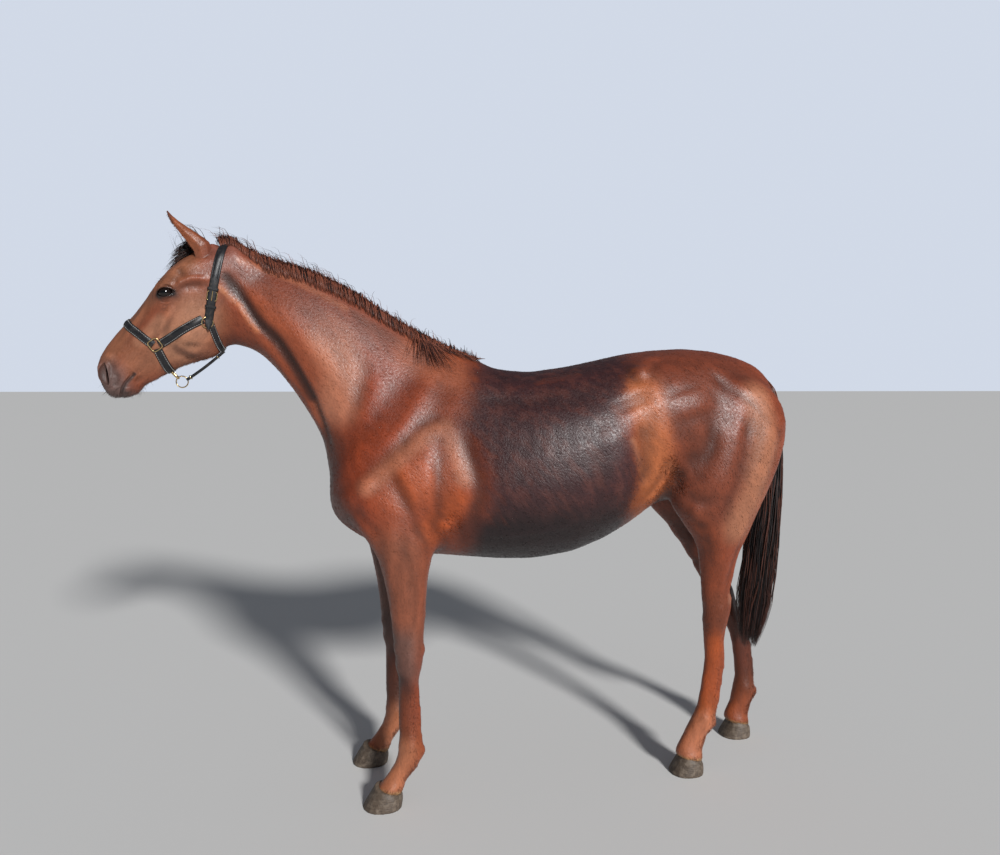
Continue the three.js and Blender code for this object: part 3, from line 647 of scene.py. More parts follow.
rows = places(skin)
for side in (-1, 1):
    along, up, out = eye_frame(rows, side)
    here = (along**2 + up**2 < 0.05**2) & (out > -0.005)
    along, up, out = along[here], up[here], out[here]
    ball = np.sqrt(np.maximum((EYE_RADIUS + LID) ** 2 - along**2 - up**2, 0))
    draped = 0.5 * (out + ball + np.sqrt((out - ball) ** 2 + 0.004**2))
    upper, lower = lid_edges(along)
    fold = np.exp(-(((up - upper - 0.0065) / 0.0022) ** 2)) * fade(abs(along - SLIT_MIDDLE), 0.03, 0.018)
    pouch = np.exp(-(((up - lower + 0.0075) / 0.0028) ** 2)) * fade(abs(along - SLIT_MIDDLE), 0.028, 0.014)
    heavy = np.exp(-(((up - upper - 0.013) / 0.006) ** 2)) * fade(abs(along - SLIT_MIDDLE), 0.036, 0.02)
    draped += 0.0022 * heavy - 0.0022 * fold - 0.0012 * pouch
    blend = fade(np.hypot(along, up), 0.05, 0.034)
    rows[here, 1] = side * (abs(EYE.y) + out + (draped - out) * blend)
put(skin, rows)
print("lids drawn over the eyeballs,", round(LID * 1000, 1), "mm thick")


# %% Cut the eye slits
def prism(name, ring, depth_from, depth_to, side):
    """A closed bar through the side of the head with the outline of ring, (x, z) places."""
    bpy.ops.object.select_all(action="DESELECT")
    bpy.ops.mesh.primitive_circle_add(vertices=len(ring), radius=1, fill_type="NGON")
    bar = name_piece(bpy.context.object, name)
    put(bar, [(x, side * depth_from, z) for x, z in ring])
    edit(bar, lambda: bpy.ops.mesh.extrude_region_move(
        TRANSFORM_OT_translate={"value": (0, side * (depth_to - depth_from), 0)}))
    return face_out(bar)


def slit_ring(count):
    """The almond outline as places x, z round the eye."""
    turns = np.linspace(0, 2 * math.pi, count, endpoint=False)
    along = SLIT_MIDDLE + SLIT_HALF * 0.999 * np.cos(turns)
    upper, lower = lid_edges(along)
    up = np.where(np.sin(turns) >= 0, upper, lower)
    cos, sin = math.cos(SLIT_TILT), math.sin(SLIT_TILT)
    return list(zip(EYE.x + along * cos - up * sin, EYE.z + along * sin + up * cos))


def carve(piece, tool, how="DIFFERENCE"):
    """Cuts a tool out of a piece, or joins it on, and takes the tool away."""
    modify(piece, "BOOLEAN", operation=how, object=tool, solver="MANIFOLD")
    bpy.data.objects.remove(tool)


for side in (-1, 1):
    carve(skin, prism("eye_slit", slit_ring(56), abs(EYE.y) + 0.006, abs(EYE.y) + 0.06, side))
print("eye slits cut:", round(SLIT_HALF * 2000), "mm long")

# %% Hollow the nostrils: a shallow bowl, and a deep comma along its rear edge
def bowl(size, bend, lean, middle):
    """An egg of the given half sizes, bent to the rear at its top and leaning, at a place."""
    bpy.ops.object.select_all(action="DESELECT")
    bpy.ops.mesh.primitive_uv_sphere_add(segments=40, ring_count=24, radius=1)
    egg = name_piece(bpy.context.object, "nostril_hollow")
    ball = places(egg)
    ball = ball * np.array(size) + np.outer(ball[:, 2] ** 2 * bend, (1, 0, 0))
    cos, sin = math.cos(lean), math.sin(lean)
    x, y, z = ball.T
    return put(egg, np.stack([x * cos - z * sin, y, x * sin + z * cos], axis=1) + np.array(middle))


for side in (-1, 1):
    surface = on_side(tree_of(skin), NOSTRIL.x, NOSTRIL.z, side)
    front = surface + Vector((-0.003, -side * 0.002, 0))
    carve(skin, bowl((0.0175, 0.019, 0.038), 0.006, math.radians(4), front))
    rear = surface + Vector((0.0080, -side * 0.010, -0.006))
    carve(skin, bowl((0.0096, 0.036, 0.034), 0.002, math.radians(4), rear))
    gap = np.linalg.norm(places(skin) - np.array(surface), axis=1)
    soft = weigh(skin, "nostril", fade(gap, 0.052, 0.042))
    modify(skin, "SMOOTH", factor=0.5, iterations=5, vertex_group=soft)
print("nostrils hollowed")

# %% Press the line between the lips
tree = tree_of(skin)
rows = places(skin)
push = np.zeros(len(rows))
for side in (-1, 1):
    push += thumb(rows, lip_places(tree, side), 0.0065, -0.0075) * 0.9
    push += thumb(rows, lip_places(tree, side)[:1], 0.015, -0.004)
put(skin, rows + directions(skin) * push[:, None])
print("lip line pressed in by", round(-push.min() * 1000, 1), "mm")

# %% [markdown]
# ## Ears
# A voxel remesh at the body's scale would eat the thin ear tips, so the ears are remeshed on
# their own at a quarter of that size. Their roots are drawn down into the head, a boolean union
# makes them part of the one skin, and smoothing round the seam lets them grow out of the poll.

# %% Remesh the ears and join them to the skin
EAR_VOXEL = 0.0021
ear_tops, ear_roots = [], []
for name in ("ear_left", "ear_right"):
    ear = copy_nodes(name)
    modify(ear, "REMESH", mode="VOXEL", voxel_size=EAR_VOXEL, use_smooth_shade=True)
    modify(ear, "SMOOTH", factor=0.5, iterations=16)
    rows = places(ear)
    gap = outside(rows, tree_of(skin))
    inward = np.array((0.2, -0.3 * np.sign(rows[:, 1].mean()), -0.95))
    rows += inward * (0.012 * fade(gap, 0.014, 0.004))[:, None]
    ear_tops.append(Vector(rows[rows[:, 2].argmax()]))
    ear_roots.append(Vector(rows[gap < 0.010].mean(0)))
    carve(skin, put(ear, rows), "UNION")
gap = np.minimum(*[np.linalg.norm(places(skin) - np.array(root), axis=1) for root in ear_roots])
seam = weigh(skin, "ear roots", fade(gap, 0.055, 0.035))
modify(skin, "SMOOTH", factor=0.5, iterations=10, vertex_group=seam)
tips = [tuple(round(v, 3) for v in top) for top in ear_tops]
print("ears joined; skin:", len(skin.data.polygons), "faces; tips at", tips)

# %% [markdown]
# ## Unwrapping the skin
# Hair that stands on the skin takes its baked colour from a small patch of the skin's own map,
# at the place where it grows. So the skin is unwrapped once all its cuts are made.

# %% Unwrap the skin
BAKE_MAP = "OFBake"
skin.data.uv_layers.new(name=BAKE_MAP)
edit(skin, lambda: bpy.ops.uv.smart_project(angle_limit=math.radians(66), island_margin=0.002))
skin_tree = tree_of(skin)
skin_rows, skin_normals = places(skin), directions(skin)


def face_maps(piece):
    """The middle of every face in the piece's own unwrap."""
    corners = read_all(piece.data.uv_layers[BAKE_MAP].data, "uv", 2)
    starts = read_all(piece.data.polygons, "loop_start", 1, int)
    totals = read_all(piece.data.polygons, "loop_total", 1, int)
    return np.add.reduceat(corners, starts) / totals[:, None]


skin_maps = face_maps(skin)
print("unwrapped:", len(skin_maps), "faces")

# %% [markdown]
# ## Eyes
# A horse's eye is a wide dark ball with a level pupil. Only the front shows, so a sphere is
# enough, pushed out a little at the cornea. The wet rim of the lids is a torus, whose round
# path is led along the almond of the slit.

# %% Eyeballs
CORNEA = 0.0011
eyes = []
for side, name in ((-1, "eye_left"), (1, "eye_right")):
    bpy.ops.object.select_all(action="DESELECT")
    bpy.ops.mesh.primitive_uv_sphere_add(segments=48, ring_count=32, radius=EYE_RADIUS)
    ball = name_piece(bpy.context.object, name + "ball")
    x, y, z = places(ball).T
    out = z + CORNEA * fade(z, 0.55 * EYE_RADIUS, EYE_RADIUS)  # the pole becomes the cornea
    put(ball, np.stack([x, side * out, y * side * -1.0], axis=1) + EYE_MIDDLES[side])
    face_out(ball)
    bpy.ops.object.shade_smooth()
    eyes.append(ball)
    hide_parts(name)
print("eyeballs:", round(EYE_RADIUS * 2000), "mm across")

# %% Wet rims of the lids
RIM_THICK = 0.0011


def slit_place(turn, side, grow):
    """A place on the lid's edge, grown outward from the almond, found on the skin."""
    along = SLIT_MIDDLE + (SLIT_HALF + grow) * math.cos(turn)
    upper, lower = lid_edges(np.array([along]))
    up = upper[0] + grow if math.sin(turn) >= 0 else lower[0] - grow
    up *= min(1, abs(math.sin(turn)) * 4)
    cos, sin = math.cos(SLIT_TILT), math.sin(SLIT_TILT)
    return on_side(skin_tree, EYE.x + along * cos - up * sin, EYE.z + along * sin + up * cos, side)


rims = []
for side in (-1, 1):
    bpy.ops.object.select_all(action="DESELECT")
    bpy.ops.mesh.primitive_torus_add(major_segments=64, minor_segments=8, major_radius=1, minor_radius=0.1)
    rim = name_piece(bpy.context.object, "lid_rim_left" if side < 0 else "lid_rim_right")
    rows = []
    for x, y, z in places(rim):
        turn = math.atan2(y, x)
        spot = slit_place(turn, side, 0.0012)
        off = (math.hypot(x, y) - 1) * 10 * RIM_THICK
        rows.append((spot.x + off * math.cos(turn), spot.y + side * z * 10 * RIM_THICK - side * 0.0006,
                     spot.z + off * math.sin(turn)))
    put(rim, rows)
    face_out(rim)
    bpy.ops.object.shade_smooth()
    rims.append(rim)
print("lid rims:", len(rims))

# %% [markdown]
# ## Hooves
# The wall of a hoof grows down from the coronet in faint rings that run level with it. The
# solids give the shape; a fine remesh rounds it, a sine pushed along the normals gives the
# rings, and the sole is drawn up inside the wall, with the frog left standing in it.

# %% Model the hooves
HOOF_VOXEL = 0.0024
RING_STEP, RING_HIGH = 0.0075, 0.0003
CUP = 0.0065  # how far the sole lies above the floor inside the wall
TOP_LIFT, TOP_IN = 0.010, 0.10  # the top runs up inside the skin
hooves = []
for leg in LEGS:
    hoof = name_piece(copy_nodes(leg + "_hoof"), leg + "_hoof_horn")
    low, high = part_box(leg + "_hoof")
    modify(hoof, "REMESH", mode="VOXEL", voxel_size=HOOF_VOXEL, use_smooth_shade=True)
    modify(hoof, "SMOOTH", factor=0.5, iterations=26)
    rows, normals = places(hoof), directions(hoof)
    x, y, z = rows.T
    run = (x - low.x) / (high.x - low.x)  # 0 at the toe, 1 at the heel
    wall = fade(abs(normals[:, 2]), 0.9, 0.6)
    ring = np.sin((z + 0.022 * run) / RING_STEP * 2 * math.pi)
    rows += normals * (wall * ring * RING_HIGH)[:, None]
    middle = np.array(((low.x + high.x) / 2 + 0.004, (low.y + high.y) / 2))
    inner = np.linalg.norm((rows[:, :2] - middle) / ((high.x - low.x) / 2, (high.y - low.y) / 2), axis=1)
    sole = fade(normals[:, 2], -0.5, -0.9)
    frog = fade(abs(y - middle[1]) - 0.016 * run, 0.004, 0.0) * fade(run, 0.35, 0.5)
    cup = CUP * fade(inner, 0.86, 0.66) * (1 - 0.75 * frog)
    rows[:, 2] = np.where(normals[:, 2] < -0.5, cup * sole, np.maximum(rows[:, 2], 0))
    top = fade(normals[:, 2], 0.3, 0.8) * fade(rows[:, 2], 0.02, 0.035)
    rows[:, 2] += TOP_LIFT * top
    rows[:, :2] += (middle - rows[:, :2]) * (TOP_IN * top)[:, None]
    put(hoof, rows)
    hooves.append(hoof)
    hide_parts(leg + "_hoof")
print("hooves:", [len(hoof.data.polygons) for hoof in hooves], "faces each")

# %% [markdown]
# ## Hair as geometry
# The mane, forelock and tail are locks: thin three-sided blades swept along a path, each ending
# in a point. Thousands of them are made as one mesh from arrays, because an operator for each
# would take minutes. Each lock keeps two values for its material, its own tint and the share of
# the way from root to tip, and sits on the skin's map as a patch a few thousandths across.

# %% Sweep blades along paths
PATCH = 0.003  # side of a blade's patch on the skin's map


def root_maps(roots):
    """Where each root lies on the skin's unwrap."""
    return np.array([skin_maps[skin_tree.find_nearest(Vector(root))[2]] for root in roots])


def blades(name, paths, widths, outward, tints, thick=0.5, maps=None):
    """One mesh of closed three-sided blades. Paths are (blade, point, xyz), widths (blade, point)."""
    count, steps, _ = paths.shape
    run = np.gradient(paths, axis=1)
    run /= np.linalg.norm(run, axis=2, keepdims=True) + 1e-9
    across = np.cross(run, outward)
    across /= np.linalg.norm(across, axis=2, keepdims=True) + 1e-9
    lift = np.cross(across, run)
    half = widths[..., None] / 2
    corners = [paths + across * half, paths + lift * half * 2 * thick, paths - across * half]
    rows = np.stack(corners, axis=2).reshape(-1, 3)
    base = np.arange(count)[:, None, None] * steps * 3
    step = np.arange(steps - 1)[None, :, None] * 3
    corner = np.arange(3)[None, None, :]
    following = (corner + 1) % 3
    quads = np.stack([base + step + corner, base + step + following, base + step + 3 + following,
                      base + step + 3 + corner], axis=-1).reshape(-1, 4)
    ends = np.arange(count)[:, None] * steps * 3
    root_caps = ends + np.array([0, 2, 1])
    tip_caps = ends + (steps - 1) * 3 + np.array([0, 1, 2])
    loops = np.concatenate([quads.ravel(), root_caps.ravel(), tip_caps.ravel()])
    totals = np.concatenate([np.full(len(quads), 4), np.full(2 * count, 3)])
    mesh = bpy.data.meshes.new(name)
    mesh.vertices.add(len(rows))
    mesh.vertices.foreach_set("co", rows.ravel())
    mesh.loops.add(len(loops))
    mesh.loops.foreach_set("vertex_index", loops)
    mesh.polygons.add(len(totals))
    mesh.polygons.foreach_set("loop_start", np.concatenate([[0], np.cumsum(totals)[:-1]]))
    mesh.update(calc_edges=True)
    share = np.tile(np.repeat(np.linspace(0, 1, steps), 3), count)
    for key, values in (("along", share), ("tint", np.repeat(tints, steps * 3))):
        mesh.attributes.new(key, "FLOAT", "POINT").data.foreach_set("value", values.astype(np.float32))
    spots = np.repeat(root_maps(paths[:, 0]) if maps is None else maps, steps * 3, axis=0)
    spots[:, 0] += PATCH * (share - 0.5)
    spots[:, 1] += PATCH * (np.tile([0, 0.5, 1], count * steps) - 0.5)
    mesh.uv_layers.new(name=BAKE_MAP).data.foreach_set("uv", spots[loops].ravel())
    piece = bpy.data.objects.new(name, mesh)
    bpy.context.scene.collection.objects.link(piece)
    face_out(piece)
    bpy.ops.object.shade_smooth()
    print(name + ":", count, "blades,", len(quads) * 2 + 2 * count, "triangles")
    return piece


def curve_through(dots, steps):
    """Smooth paths through control places: dots is (blade, dot, xyz)."""
    count, spans = dots.shape[0], dots.shape[1] - 1
    before, after = 2 * dots[:, :1] - dots[:, 1:2], 2 * dots[:, -1:] - dots[:, -2:-1]
    padded = np.concatenate([before, dots, after], axis=1)
    places_along = np.linspace(0, spans, steps)
    span = np.minimum(places_along.astype(int), spans - 1)
    t = (places_along - span)[None, :, None]
    a, b, c, d = (padded[:, span + k] for k in range(4))
    return 0.5 * (2 * b + (c - a) * t + (2 * a - 5 * b + 4 * c - d) * t**2 + (3 * b - a - 3 * c + d) * t**3)


def taper(widths, steps, root=0.7):
    """Widths along a blade: a narrow root, full in the middle, a fine tip."""
    share = np.linspace(0, 1, steps)
    shape = (root + (1 - root) * np.sin(math.pi * np.clip(share * 1.4, 0, 0.5))) * (1 - share**2.2) + 0.04
    return widths[:, None] * shape[None, :]


# %% [markdown]
# ## Halter
# A leather halter is flat padded strap between brass rings. Boxes bent by hand would have to be
# fitted to the skin one by one. The solids already say where each strap runs: in a band of one
# width between two parallel planes, found as the direction in which the solid is narrowest. The
# strap is swept along the skin between those planes: a grid is wrapped round a padded
# cross-section, its seam merged and its ends filled.

# %% Read a strap's run from its solid
STRAP_PROFILE = [(-15, 0.4), (-14.7, 2.6), (-13.4, 3.9), (-11.6, 4.4), (-10.6, 4.2), (-9.4, 4.9),
                 (-5, 6.4), (0, 6.9), (5, 6.4), (9.4, 4.9), (10.6, 4.2), (11.6, 4.4), (13.4, 3.9),
                 (14.7, 2.6), (15, 0.4), (12, -0.8), (0, -1.2), (-12, -0.8)]
FEELERS = (-0.011, 0, 0.011)  # where, across a strap, the skin under it is felt
HEAD_MIDDLE = np.array((-1.02, 0, 1.72))


def band_of(name):
    """The band's width axis, its middle on that axis, its length axis and its ends, seen from the side."""
    flat = places(nodes[name])[:, [0, 2]]
    best = None
    for turn in np.radians(np.arange(0, 180, 0.5)):
        axis = np.array((math.cos(turn), math.sin(turn)))
        span = flat @ axis
        if best is None or span.max() - span.min() < best[0]:
            best = (span.max() - span.min(), axis, (span.max() + span.min()) / 2)
    wide, axis, middle = best
    length = np.array((-axis[1], axis[0]))
    run = flat @ length
    return axis, middle, length, (run.min(), run.max())


def round_path(name, beyond):
    """Rows of three places across a strap that goes round the head, from its left end to its right."""
    axis, middle, length, (low, high) = band_of(name)
    rows = places(nodes[name])
    crossing = (rows[abs(rows[:, 1]) < 0.008][:, [0, 2]] @ length).mean()
    open_end, toward = (low, 1) if crossing > (low + high) / 2 else (high, -1)
    half = abs(rows[:, 1]).max()
    start = -math.atan2(beyond, half)
    trios = []
    for turn in np.linspace(start, math.pi - start, 90):
        trio = []
        for across in FEELERS:
            x, z = axis * (middle + across) + length * open_end
            ahead = toward * math.sin(turn)
            ray = (ahead * length[0], -math.cos(turn), ahead * length[1])
            trio.append(skin_tree.ray_cast(Vector((x, 0, z)), Vector(ray).normalized())[0])
        trios.append(trio)
    return np.array(trios)


def side_path(name, side, beyond):
    """The same for a strap that lies on one side of the head."""
    axis, middle, length, (low, high) = band_of(name)
    trios = []
    for run in np.linspace(low - beyond, high + beyond, 30):
        spots = [axis * (middle + across) + length * run for across in FEELERS]
        trios.append([on_side(skin_tree, x, z, side) for x, z in spots])
    return np.array(trios)


print("the noseband's band runs", [round(float(v), 3) for v in band_of("halter_noseband")[3]])


# %% Seat a strap on the skin and sweep its profile along it
def lengths_along(line):
    """How far along a line each of its places lies."""
    return np.concatenate([[0], np.cumsum(np.linalg.norm(np.diff(line, axis=0), axis=1))])


def at_lengths(stations, lengths, rows):
    """Rows that are known at some lengths, read at others."""
    return np.stack([np.interp(stations, lengths, rows[:, k]) for k in range(3)], axis=1)


def seat(trios, spacing=0.006, rounds=6):
    """Middle places, width directions and outward directions along a taut strap."""
    middle = trios.mean(axis=1)
    across = trios[:, 2] - trios[:, 0]
    lengths = lengths_along(middle)
    stations = np.linspace(0, lengths[-1], max(int(lengths[-1] / spacing), 4))
    middle, across = at_lengths(stations, lengths, middle), at_lengths(stations, lengths, across)
    for _ in range(rounds):
        middle[1:-1] = (middle[:-2] + middle[1:-1] + middle[2:]) / 3
        across[1:-1] = (across[:-2] + across[1:-1] + across[2:]) / 3
    run = np.gradient(middle, axis=0)
    run /= np.linalg.norm(run, axis=1, keepdims=True)
    across -= run * np.einsum("ij,ij->i", across, run)[:, None]
    across /= np.linalg.norm(across, axis=1, keepdims=True)
    out = np.cross(run, across)
    out *= np.sign(np.einsum("ij,ij->i", out, middle - HEAD_MIDDLE))[:, None]
    gap = outside(middle, skin_tree)
    middle = middle + out * np.maximum(-gap, 0)[:, None]
    return middle, across, out


def sweep(name, seats, profile, scale=1.0, narrow=None):
    """A closed strap: the profile, in mm, carried along the seats."""
    middle, across, out = seats
    count, sides = len(middle), len(profile)
    bpy.ops.object.select_all(action="DESELECT")
    bpy.ops.mesh.primitive_grid_add(x_subdivisions=sides, y_subdivisions=count - 1, size=1)
    strap = name_piece(bpy.context.object, name)
    flat = places(strap)
    column = np.rint((flat[:, 0] + 0.5) * sides).astype(int) % sides
    row = np.rint((flat[:, 1] + 0.5) * (count - 1)).astype(int)
    shape = np.array(profile)[column] / 1000
    width = np.ones(count) if narrow is None else narrow
    sideways = across[row] * (shape[:, :1] * scale * width[row][:, None])
    put(strap, middle[row] + sideways + out[row] * shape[:, 1:])
    edit(strap, lambda: bpy.ops.mesh.remove_doubles(threshold=0.00001),
         lambda: bpy.ops.mesh.fill_holes(sides=0))
    face_out(strap)
    bpy.ops.object.shade_smooth_by_angle(angle=math.radians(50))
    return strap


# %% Make the straps, and say where their stitches go
BEYOND = 0.013  # how far a strap runs on past its solid's end
STITCH, STITCH_GAP = 0.0052, 0.0026
STITCH_LINE, STITCH_HEIGHT = 11, 4.8  # in mm from the strap's middle
straps, stitch_paths, stitch_outs, strap_seats = [], [], [], {}


def stitch_row(seats, offset, height):
    """Short threads along a strap, offset mm from its middle."""
    middle, across, out = seats
    line = middle + across * offset / 1000 + out * height / 1000
    lengths = lengths_along(line)
    lift = np.array((-0.0004, 0.0005, 0.0005, -0.0004))[:, None]
    for start in np.arange(0.010, lengths[-1] - 0.014, STITCH + STITCH_GAP):
        at = start + STITCH * np.array((0, 0.3, 0.7, 1.0))
        normal = at_lengths(at, lengths, out)
        stitch_paths.append(at_lengths(at, lengths, line) + normal * lift)
        stitch_outs.append(normal)


for name in ("halter_noseband", "halter_chinstrap", "halter_crownpiece", "halter_throatstrap"):
    strap_seats[name] = seat(round_path(name, BEYOND))
for side, label in ((-1, "left"), (1, "right")):
    strap_seats["halter_cheekpiece_" + label] = seat(side_path("halter_cheekpiece_" + label, side, BEYOND))
for name, seats in strap_seats.items():
    wide = 0.80 if name == "halter_throatstrap" else 1.0
    strap = sweep(name + "_leather", seats, STRAP_PROFILE, wide)
    straps.append(strap)
    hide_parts(name)
    if name != "halter_crownpiece":
        for offset in (-STITCH_LINE * wide, STITCH_LINE * wide):
            stitch_row(seats, offset, STITCH_HEIGHT)
print("straps:", len(straps), "with", len(stitch_paths), "stitches so far")

# %% Rings: a torus led round a square or a circle, lying on the cheek
WIRE = 0.0021


def swell(turn, squareness):
    """How far a round-cornered outline reaches at a turn: 1 all round at 2, a square's at more."""
    return (np.abs(np.cos(turn)) ** squareness + np.abs(np.sin(turn)) ** squareness) ** (-1 / squareness)


def wire_ring(name, centre, first, second, half, squareness=2.0, wire=WIRE, segments=48):
    """A closed wire; squareness 2 is a circle and 5 a square with round corners."""
    bpy.ops.object.select_all(action="DESELECT")
    bpy.ops.mesh.primitive_torus_add(major_segments=segments, minor_segments=12, major_radius=1,
                                     minor_radius=0.1)
    ring = name_piece(bpy.context.object, name)
    x, y, z = places(ring).T
    turn = np.arctan2(y, x)
    reach = half * swell(turn, squareness) + (np.hypot(x, y) - 1) * 10 * wire
    first, second = np.array(first), np.array(second)
    normal = np.cross(first, second)
    rows = np.array(centre) + np.outer(reach * np.cos(turn), first) + np.outer(reach * np.sin(turn), second)
    put(ring, rows + np.outer(z * 10 * wire, normal))
    face_out(ring)
    bpy.ops.object.shade_smooth()
    return ring


def on_cheek(x, z, side, lean, reach=0.014):
    """A seat on the side of the head: place, a first direction at that lean, and a second."""
    along = np.array((math.cos(lean), math.sin(lean)))
    up = np.array((-along[1], along[0]))
    steps = (reach * along, -reach * along, reach * up, -reach * up)
    ahead, behind, above, below = (on_side(skin_tree, x + dx, z + dz, side) for dx, dz in steps)
    first = (ahead - behind).normalized()
    second = above - below
    second = (second - first * second.dot(first)).normalized()
    out = first.cross(second)
    out = out if out.y * side > 0 else -out
    return on_side(skin_tree, x, z, side), first, second, out


rings = []
RING_SEAT = 0.0058  # a ring's middle lies this far off the skin
for side, label in ((-1, "left"), (1, "right")):
    for kind, half, squareness, lean in (("square_ring", 0.0195, 4.5, 33), ("cheek_ring", 0.0185, 2.0, 0)):
        node = "halter_" + kind + "_" + label
        low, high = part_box(node)
        x, z = (low.x + high.x) / 2, (low.z + high.z) / 2
        spot, first, second, out = on_cheek(x, z, side, math.radians(lean))
        ring = wire_ring(node + "_brass", spot + out * RING_SEAT, first, second, half, squareness)
        rings.append(ring)
        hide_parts(node)
print("rings on the cheeks:", len(rings))

# %% The lead ring, and the loop that hangs it on the chinstrap
LOOP_WIDE = 0.0085
lead_low, lead_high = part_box("halter_lead_ring")
lead_middle = (lead_low + lead_high) / 2
lead_half = (lead_high.x - lead_low.x) / 2
lead = wire_ring("halter_lead_ring_brass", lead_middle, (1, 0, 0), (0, 0, 1), lead_half - WIRE)
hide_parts("halter_lead_ring")
chin_middle, _, chin_out = strap_seats["halter_chinstrap"]
under = abs(chin_middle[:, 1]).argmin()
chin_spot = chin_middle[under] + chin_out[under] * 0.0035
link = np.array(lead_middle) - chin_spot
link /= np.linalg.norm(link)
lead_top = np.array(lead_middle) - link * lead_half
loop_half = np.linalg.norm(lead_top - chin_spot) / 2 + 0.0045
loop = wire_ring("halter_chin_loop_brass", (lead_top + chin_spot) / 2, link * loop_half / LOOP_WIDE,
                 (0, 1, 0), LOOP_WIDE, 3.0, 0.0018, 32)
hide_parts("halter_chin_loop")
rings += [lead, loop]
print("rings:", len(rings))

# %% The strap from the lead ring to the throat, with a loop at each end
throat_middle, _, throat_out = strap_seats["halter_throatstrap"]
under = abs(throat_middle[:, 1]).argmin()
ends = [np.array(lead_middle) + np.array((0.016, 0, 0.007)), throat_middle[under] + throat_out[under] * 0.007]
JOWL_STATIONS = 30
JOWL_SAG = 0.004
share = np.linspace(0, 1, JOWL_STATIONS)[:, None]
line = ends[0] + (ends[1] - ends[0]) * share
line[:, 2] -= JOWL_SAG * np.sin(math.pi * share[:, 0])
run = np.gradient(line, axis=0)
run /= np.linalg.norm(run, axis=1, keepdims=True)
sideways = np.tile(np.array((0.0, 1.0, 0.0)), (JOWL_STATIONS, 1))


def oval(wide, high, sides):
    """The cross-section of a rolled strap or a wire, by its half sizes in mm."""
    turns = np.linspace(0, 2 * math.pi, sides, endpoint=False)
    return [(wide * math.cos(turn), high * math.sin(turn)) for turn in turns]


jowl = sweep("halter_jowl_strap_leather", (line, sideways, np.cross(sideways, run)), oval(6.5, 5.0, 14))
straps.append(jowl)
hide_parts("halter_jowl_strap")
keepers = []
for station in (3, 24):
    keepers.append(wire_ring("jowl_keeper_" + str(station), line[station], (0, 1, 0),
                             np.cross((0, 1, 0), run[station]), 0.0072, 2.6, 0.0012, 24))
print("jowl strap:", round(float(np.linalg.norm(ends[1] - ends[0])) * 1000), "mm")

# %% The buckle on the left side of the crownpiece
crown_middle, crown_across, crown_out = strap_seats["halter_crownpiece"]


def crown_index(height):
    """The station of the crownpiece at a height, on the left side."""
    here = np.where(crown_middle[:, 1] < -0.02)[0]
    return here[np.abs(crown_middle[here, 2] - height).argmin()]


BUCKLE_HEIGHT = EYE.z - 0.006
buckle_at = crown_index(BUCKLE_HEIGHT)
frame_out = crown_out[buckle_at]
down = crown_middle[max(buckle_at - 2, 0)] - crown_middle[min(buckle_at + 2, len(crown_middle) - 1)]
down /= np.linalg.norm(down)
buckle = wire_ring("crown_buckle", crown_middle[buckle_at] + frame_out * 0.0075, down,
                   crown_across[buckle_at], 0.0158, 6.0, 0.0017, 40)
rings.append(buckle)
print("buckle at", [round(float(v), 3) for v in crown_middle[buckle_at]])

# %% The loose end of the crownpiece, which runs through the buckle and ends in a point below it
TONGUE = [(-13, 0.0), (-13, 1.8), (-11, 2.6), (0, 2.9), (11, 2.6), (13, 1.8), (13, 0.0), (0, -0.3)]
first, last = sorted((crown_index(EYE.z + 0.055), crown_index(EYE.z - 0.085)))
tongue_rows = crown_middle[first:last + 1] + crown_out[first:last + 1] * 0.0072
tongue_across, tongue_out = crown_across[first:last + 1], crown_out[first:last + 1]
if tongue_rows[0, 2] < tongue_rows[-1, 2]:
    tongue_rows, tongue_across, tongue_out = tongue_rows[::-1], tongue_across[::-1], tongue_out[::-1]
LOOSE, LOOSE_LIFT = 6, 0.0012  # its last stations stand off the strap, more at each
step = tongue_rows[-1] - tongue_rows[-2]
ahead = np.arange(1, LOOSE + 1)[:, None]
loose_rows = tongue_rows[-1] + step * ahead + tongue_out[-1] * LOOSE_LIFT * ahead
tongue_rows = np.concatenate([tongue_rows, loose_rows])
tongue_across = np.concatenate([tongue_across, np.repeat(tongue_across[-1:], LOOSE, axis=0)])
tongue_out = np.concatenate([tongue_out, np.repeat(tongue_out[-1:], LOOSE, axis=0)])
left_to_go = np.linspace(1, 0, len(tongue_rows))
narrow = np.sqrt(np.clip(left_to_go / 0.13, 0.02, 1))
tongue = sweep("crown_tongue", (tongue_rows, tongue_across, tongue_out), TONGUE, 0.92, narrow)
straps.append(tongue)
print("loose end:", len(tongue_rows), "stations")

# %% Keepers above and below the buckle, and its pin
KEEPER = [(-4, 0.1), (-4, 1.5), (4, 1.5), (4, 0.1)]
KEEPER_WIDE, KEEPER_HIGH = 0.0168, 0.0072
turns = np.linspace(0, 2 * math.pi, 41)
for offset in (0.024, -0.036):
    at = crown_index(BUCKLE_HEIGHT + offset)
    centre = crown_middle[at] + crown_out[at] * 0.0045
    path = centre + np.outer(swell(turns, 8) * np.cos(turns) * KEEPER_WIDE, crown_across[at])
    path += np.outer(swell(turns, 8) * np.sin(turns) * KEEPER_HIGH, crown_out[at])
    outward = path - centre
    outward /= np.linalg.norm(outward, axis=1, keepdims=True)
    along_strap = np.tile(np.cross(crown_across[at], crown_out[at]), (len(turns), 1))
    straps.append(sweep("crown_keeper", (path, along_strap, outward), KEEPER))
pin_path = crown_middle[buckle_at] + frame_out * 0.0112 + np.outer(np.linspace(0.017, -0.017, 6), down)
pin_seats = (pin_path, np.tile(crown_across[buckle_at], (6, 1)), np.tile(frame_out, (6, 1)))
rings.append(sweep("crown_pin", pin_seats, oval(1.6, 1.6, 10)))
print("straps, keepers and loose end:", len(straps), "brass parts:", len(rings) + len(keepers))

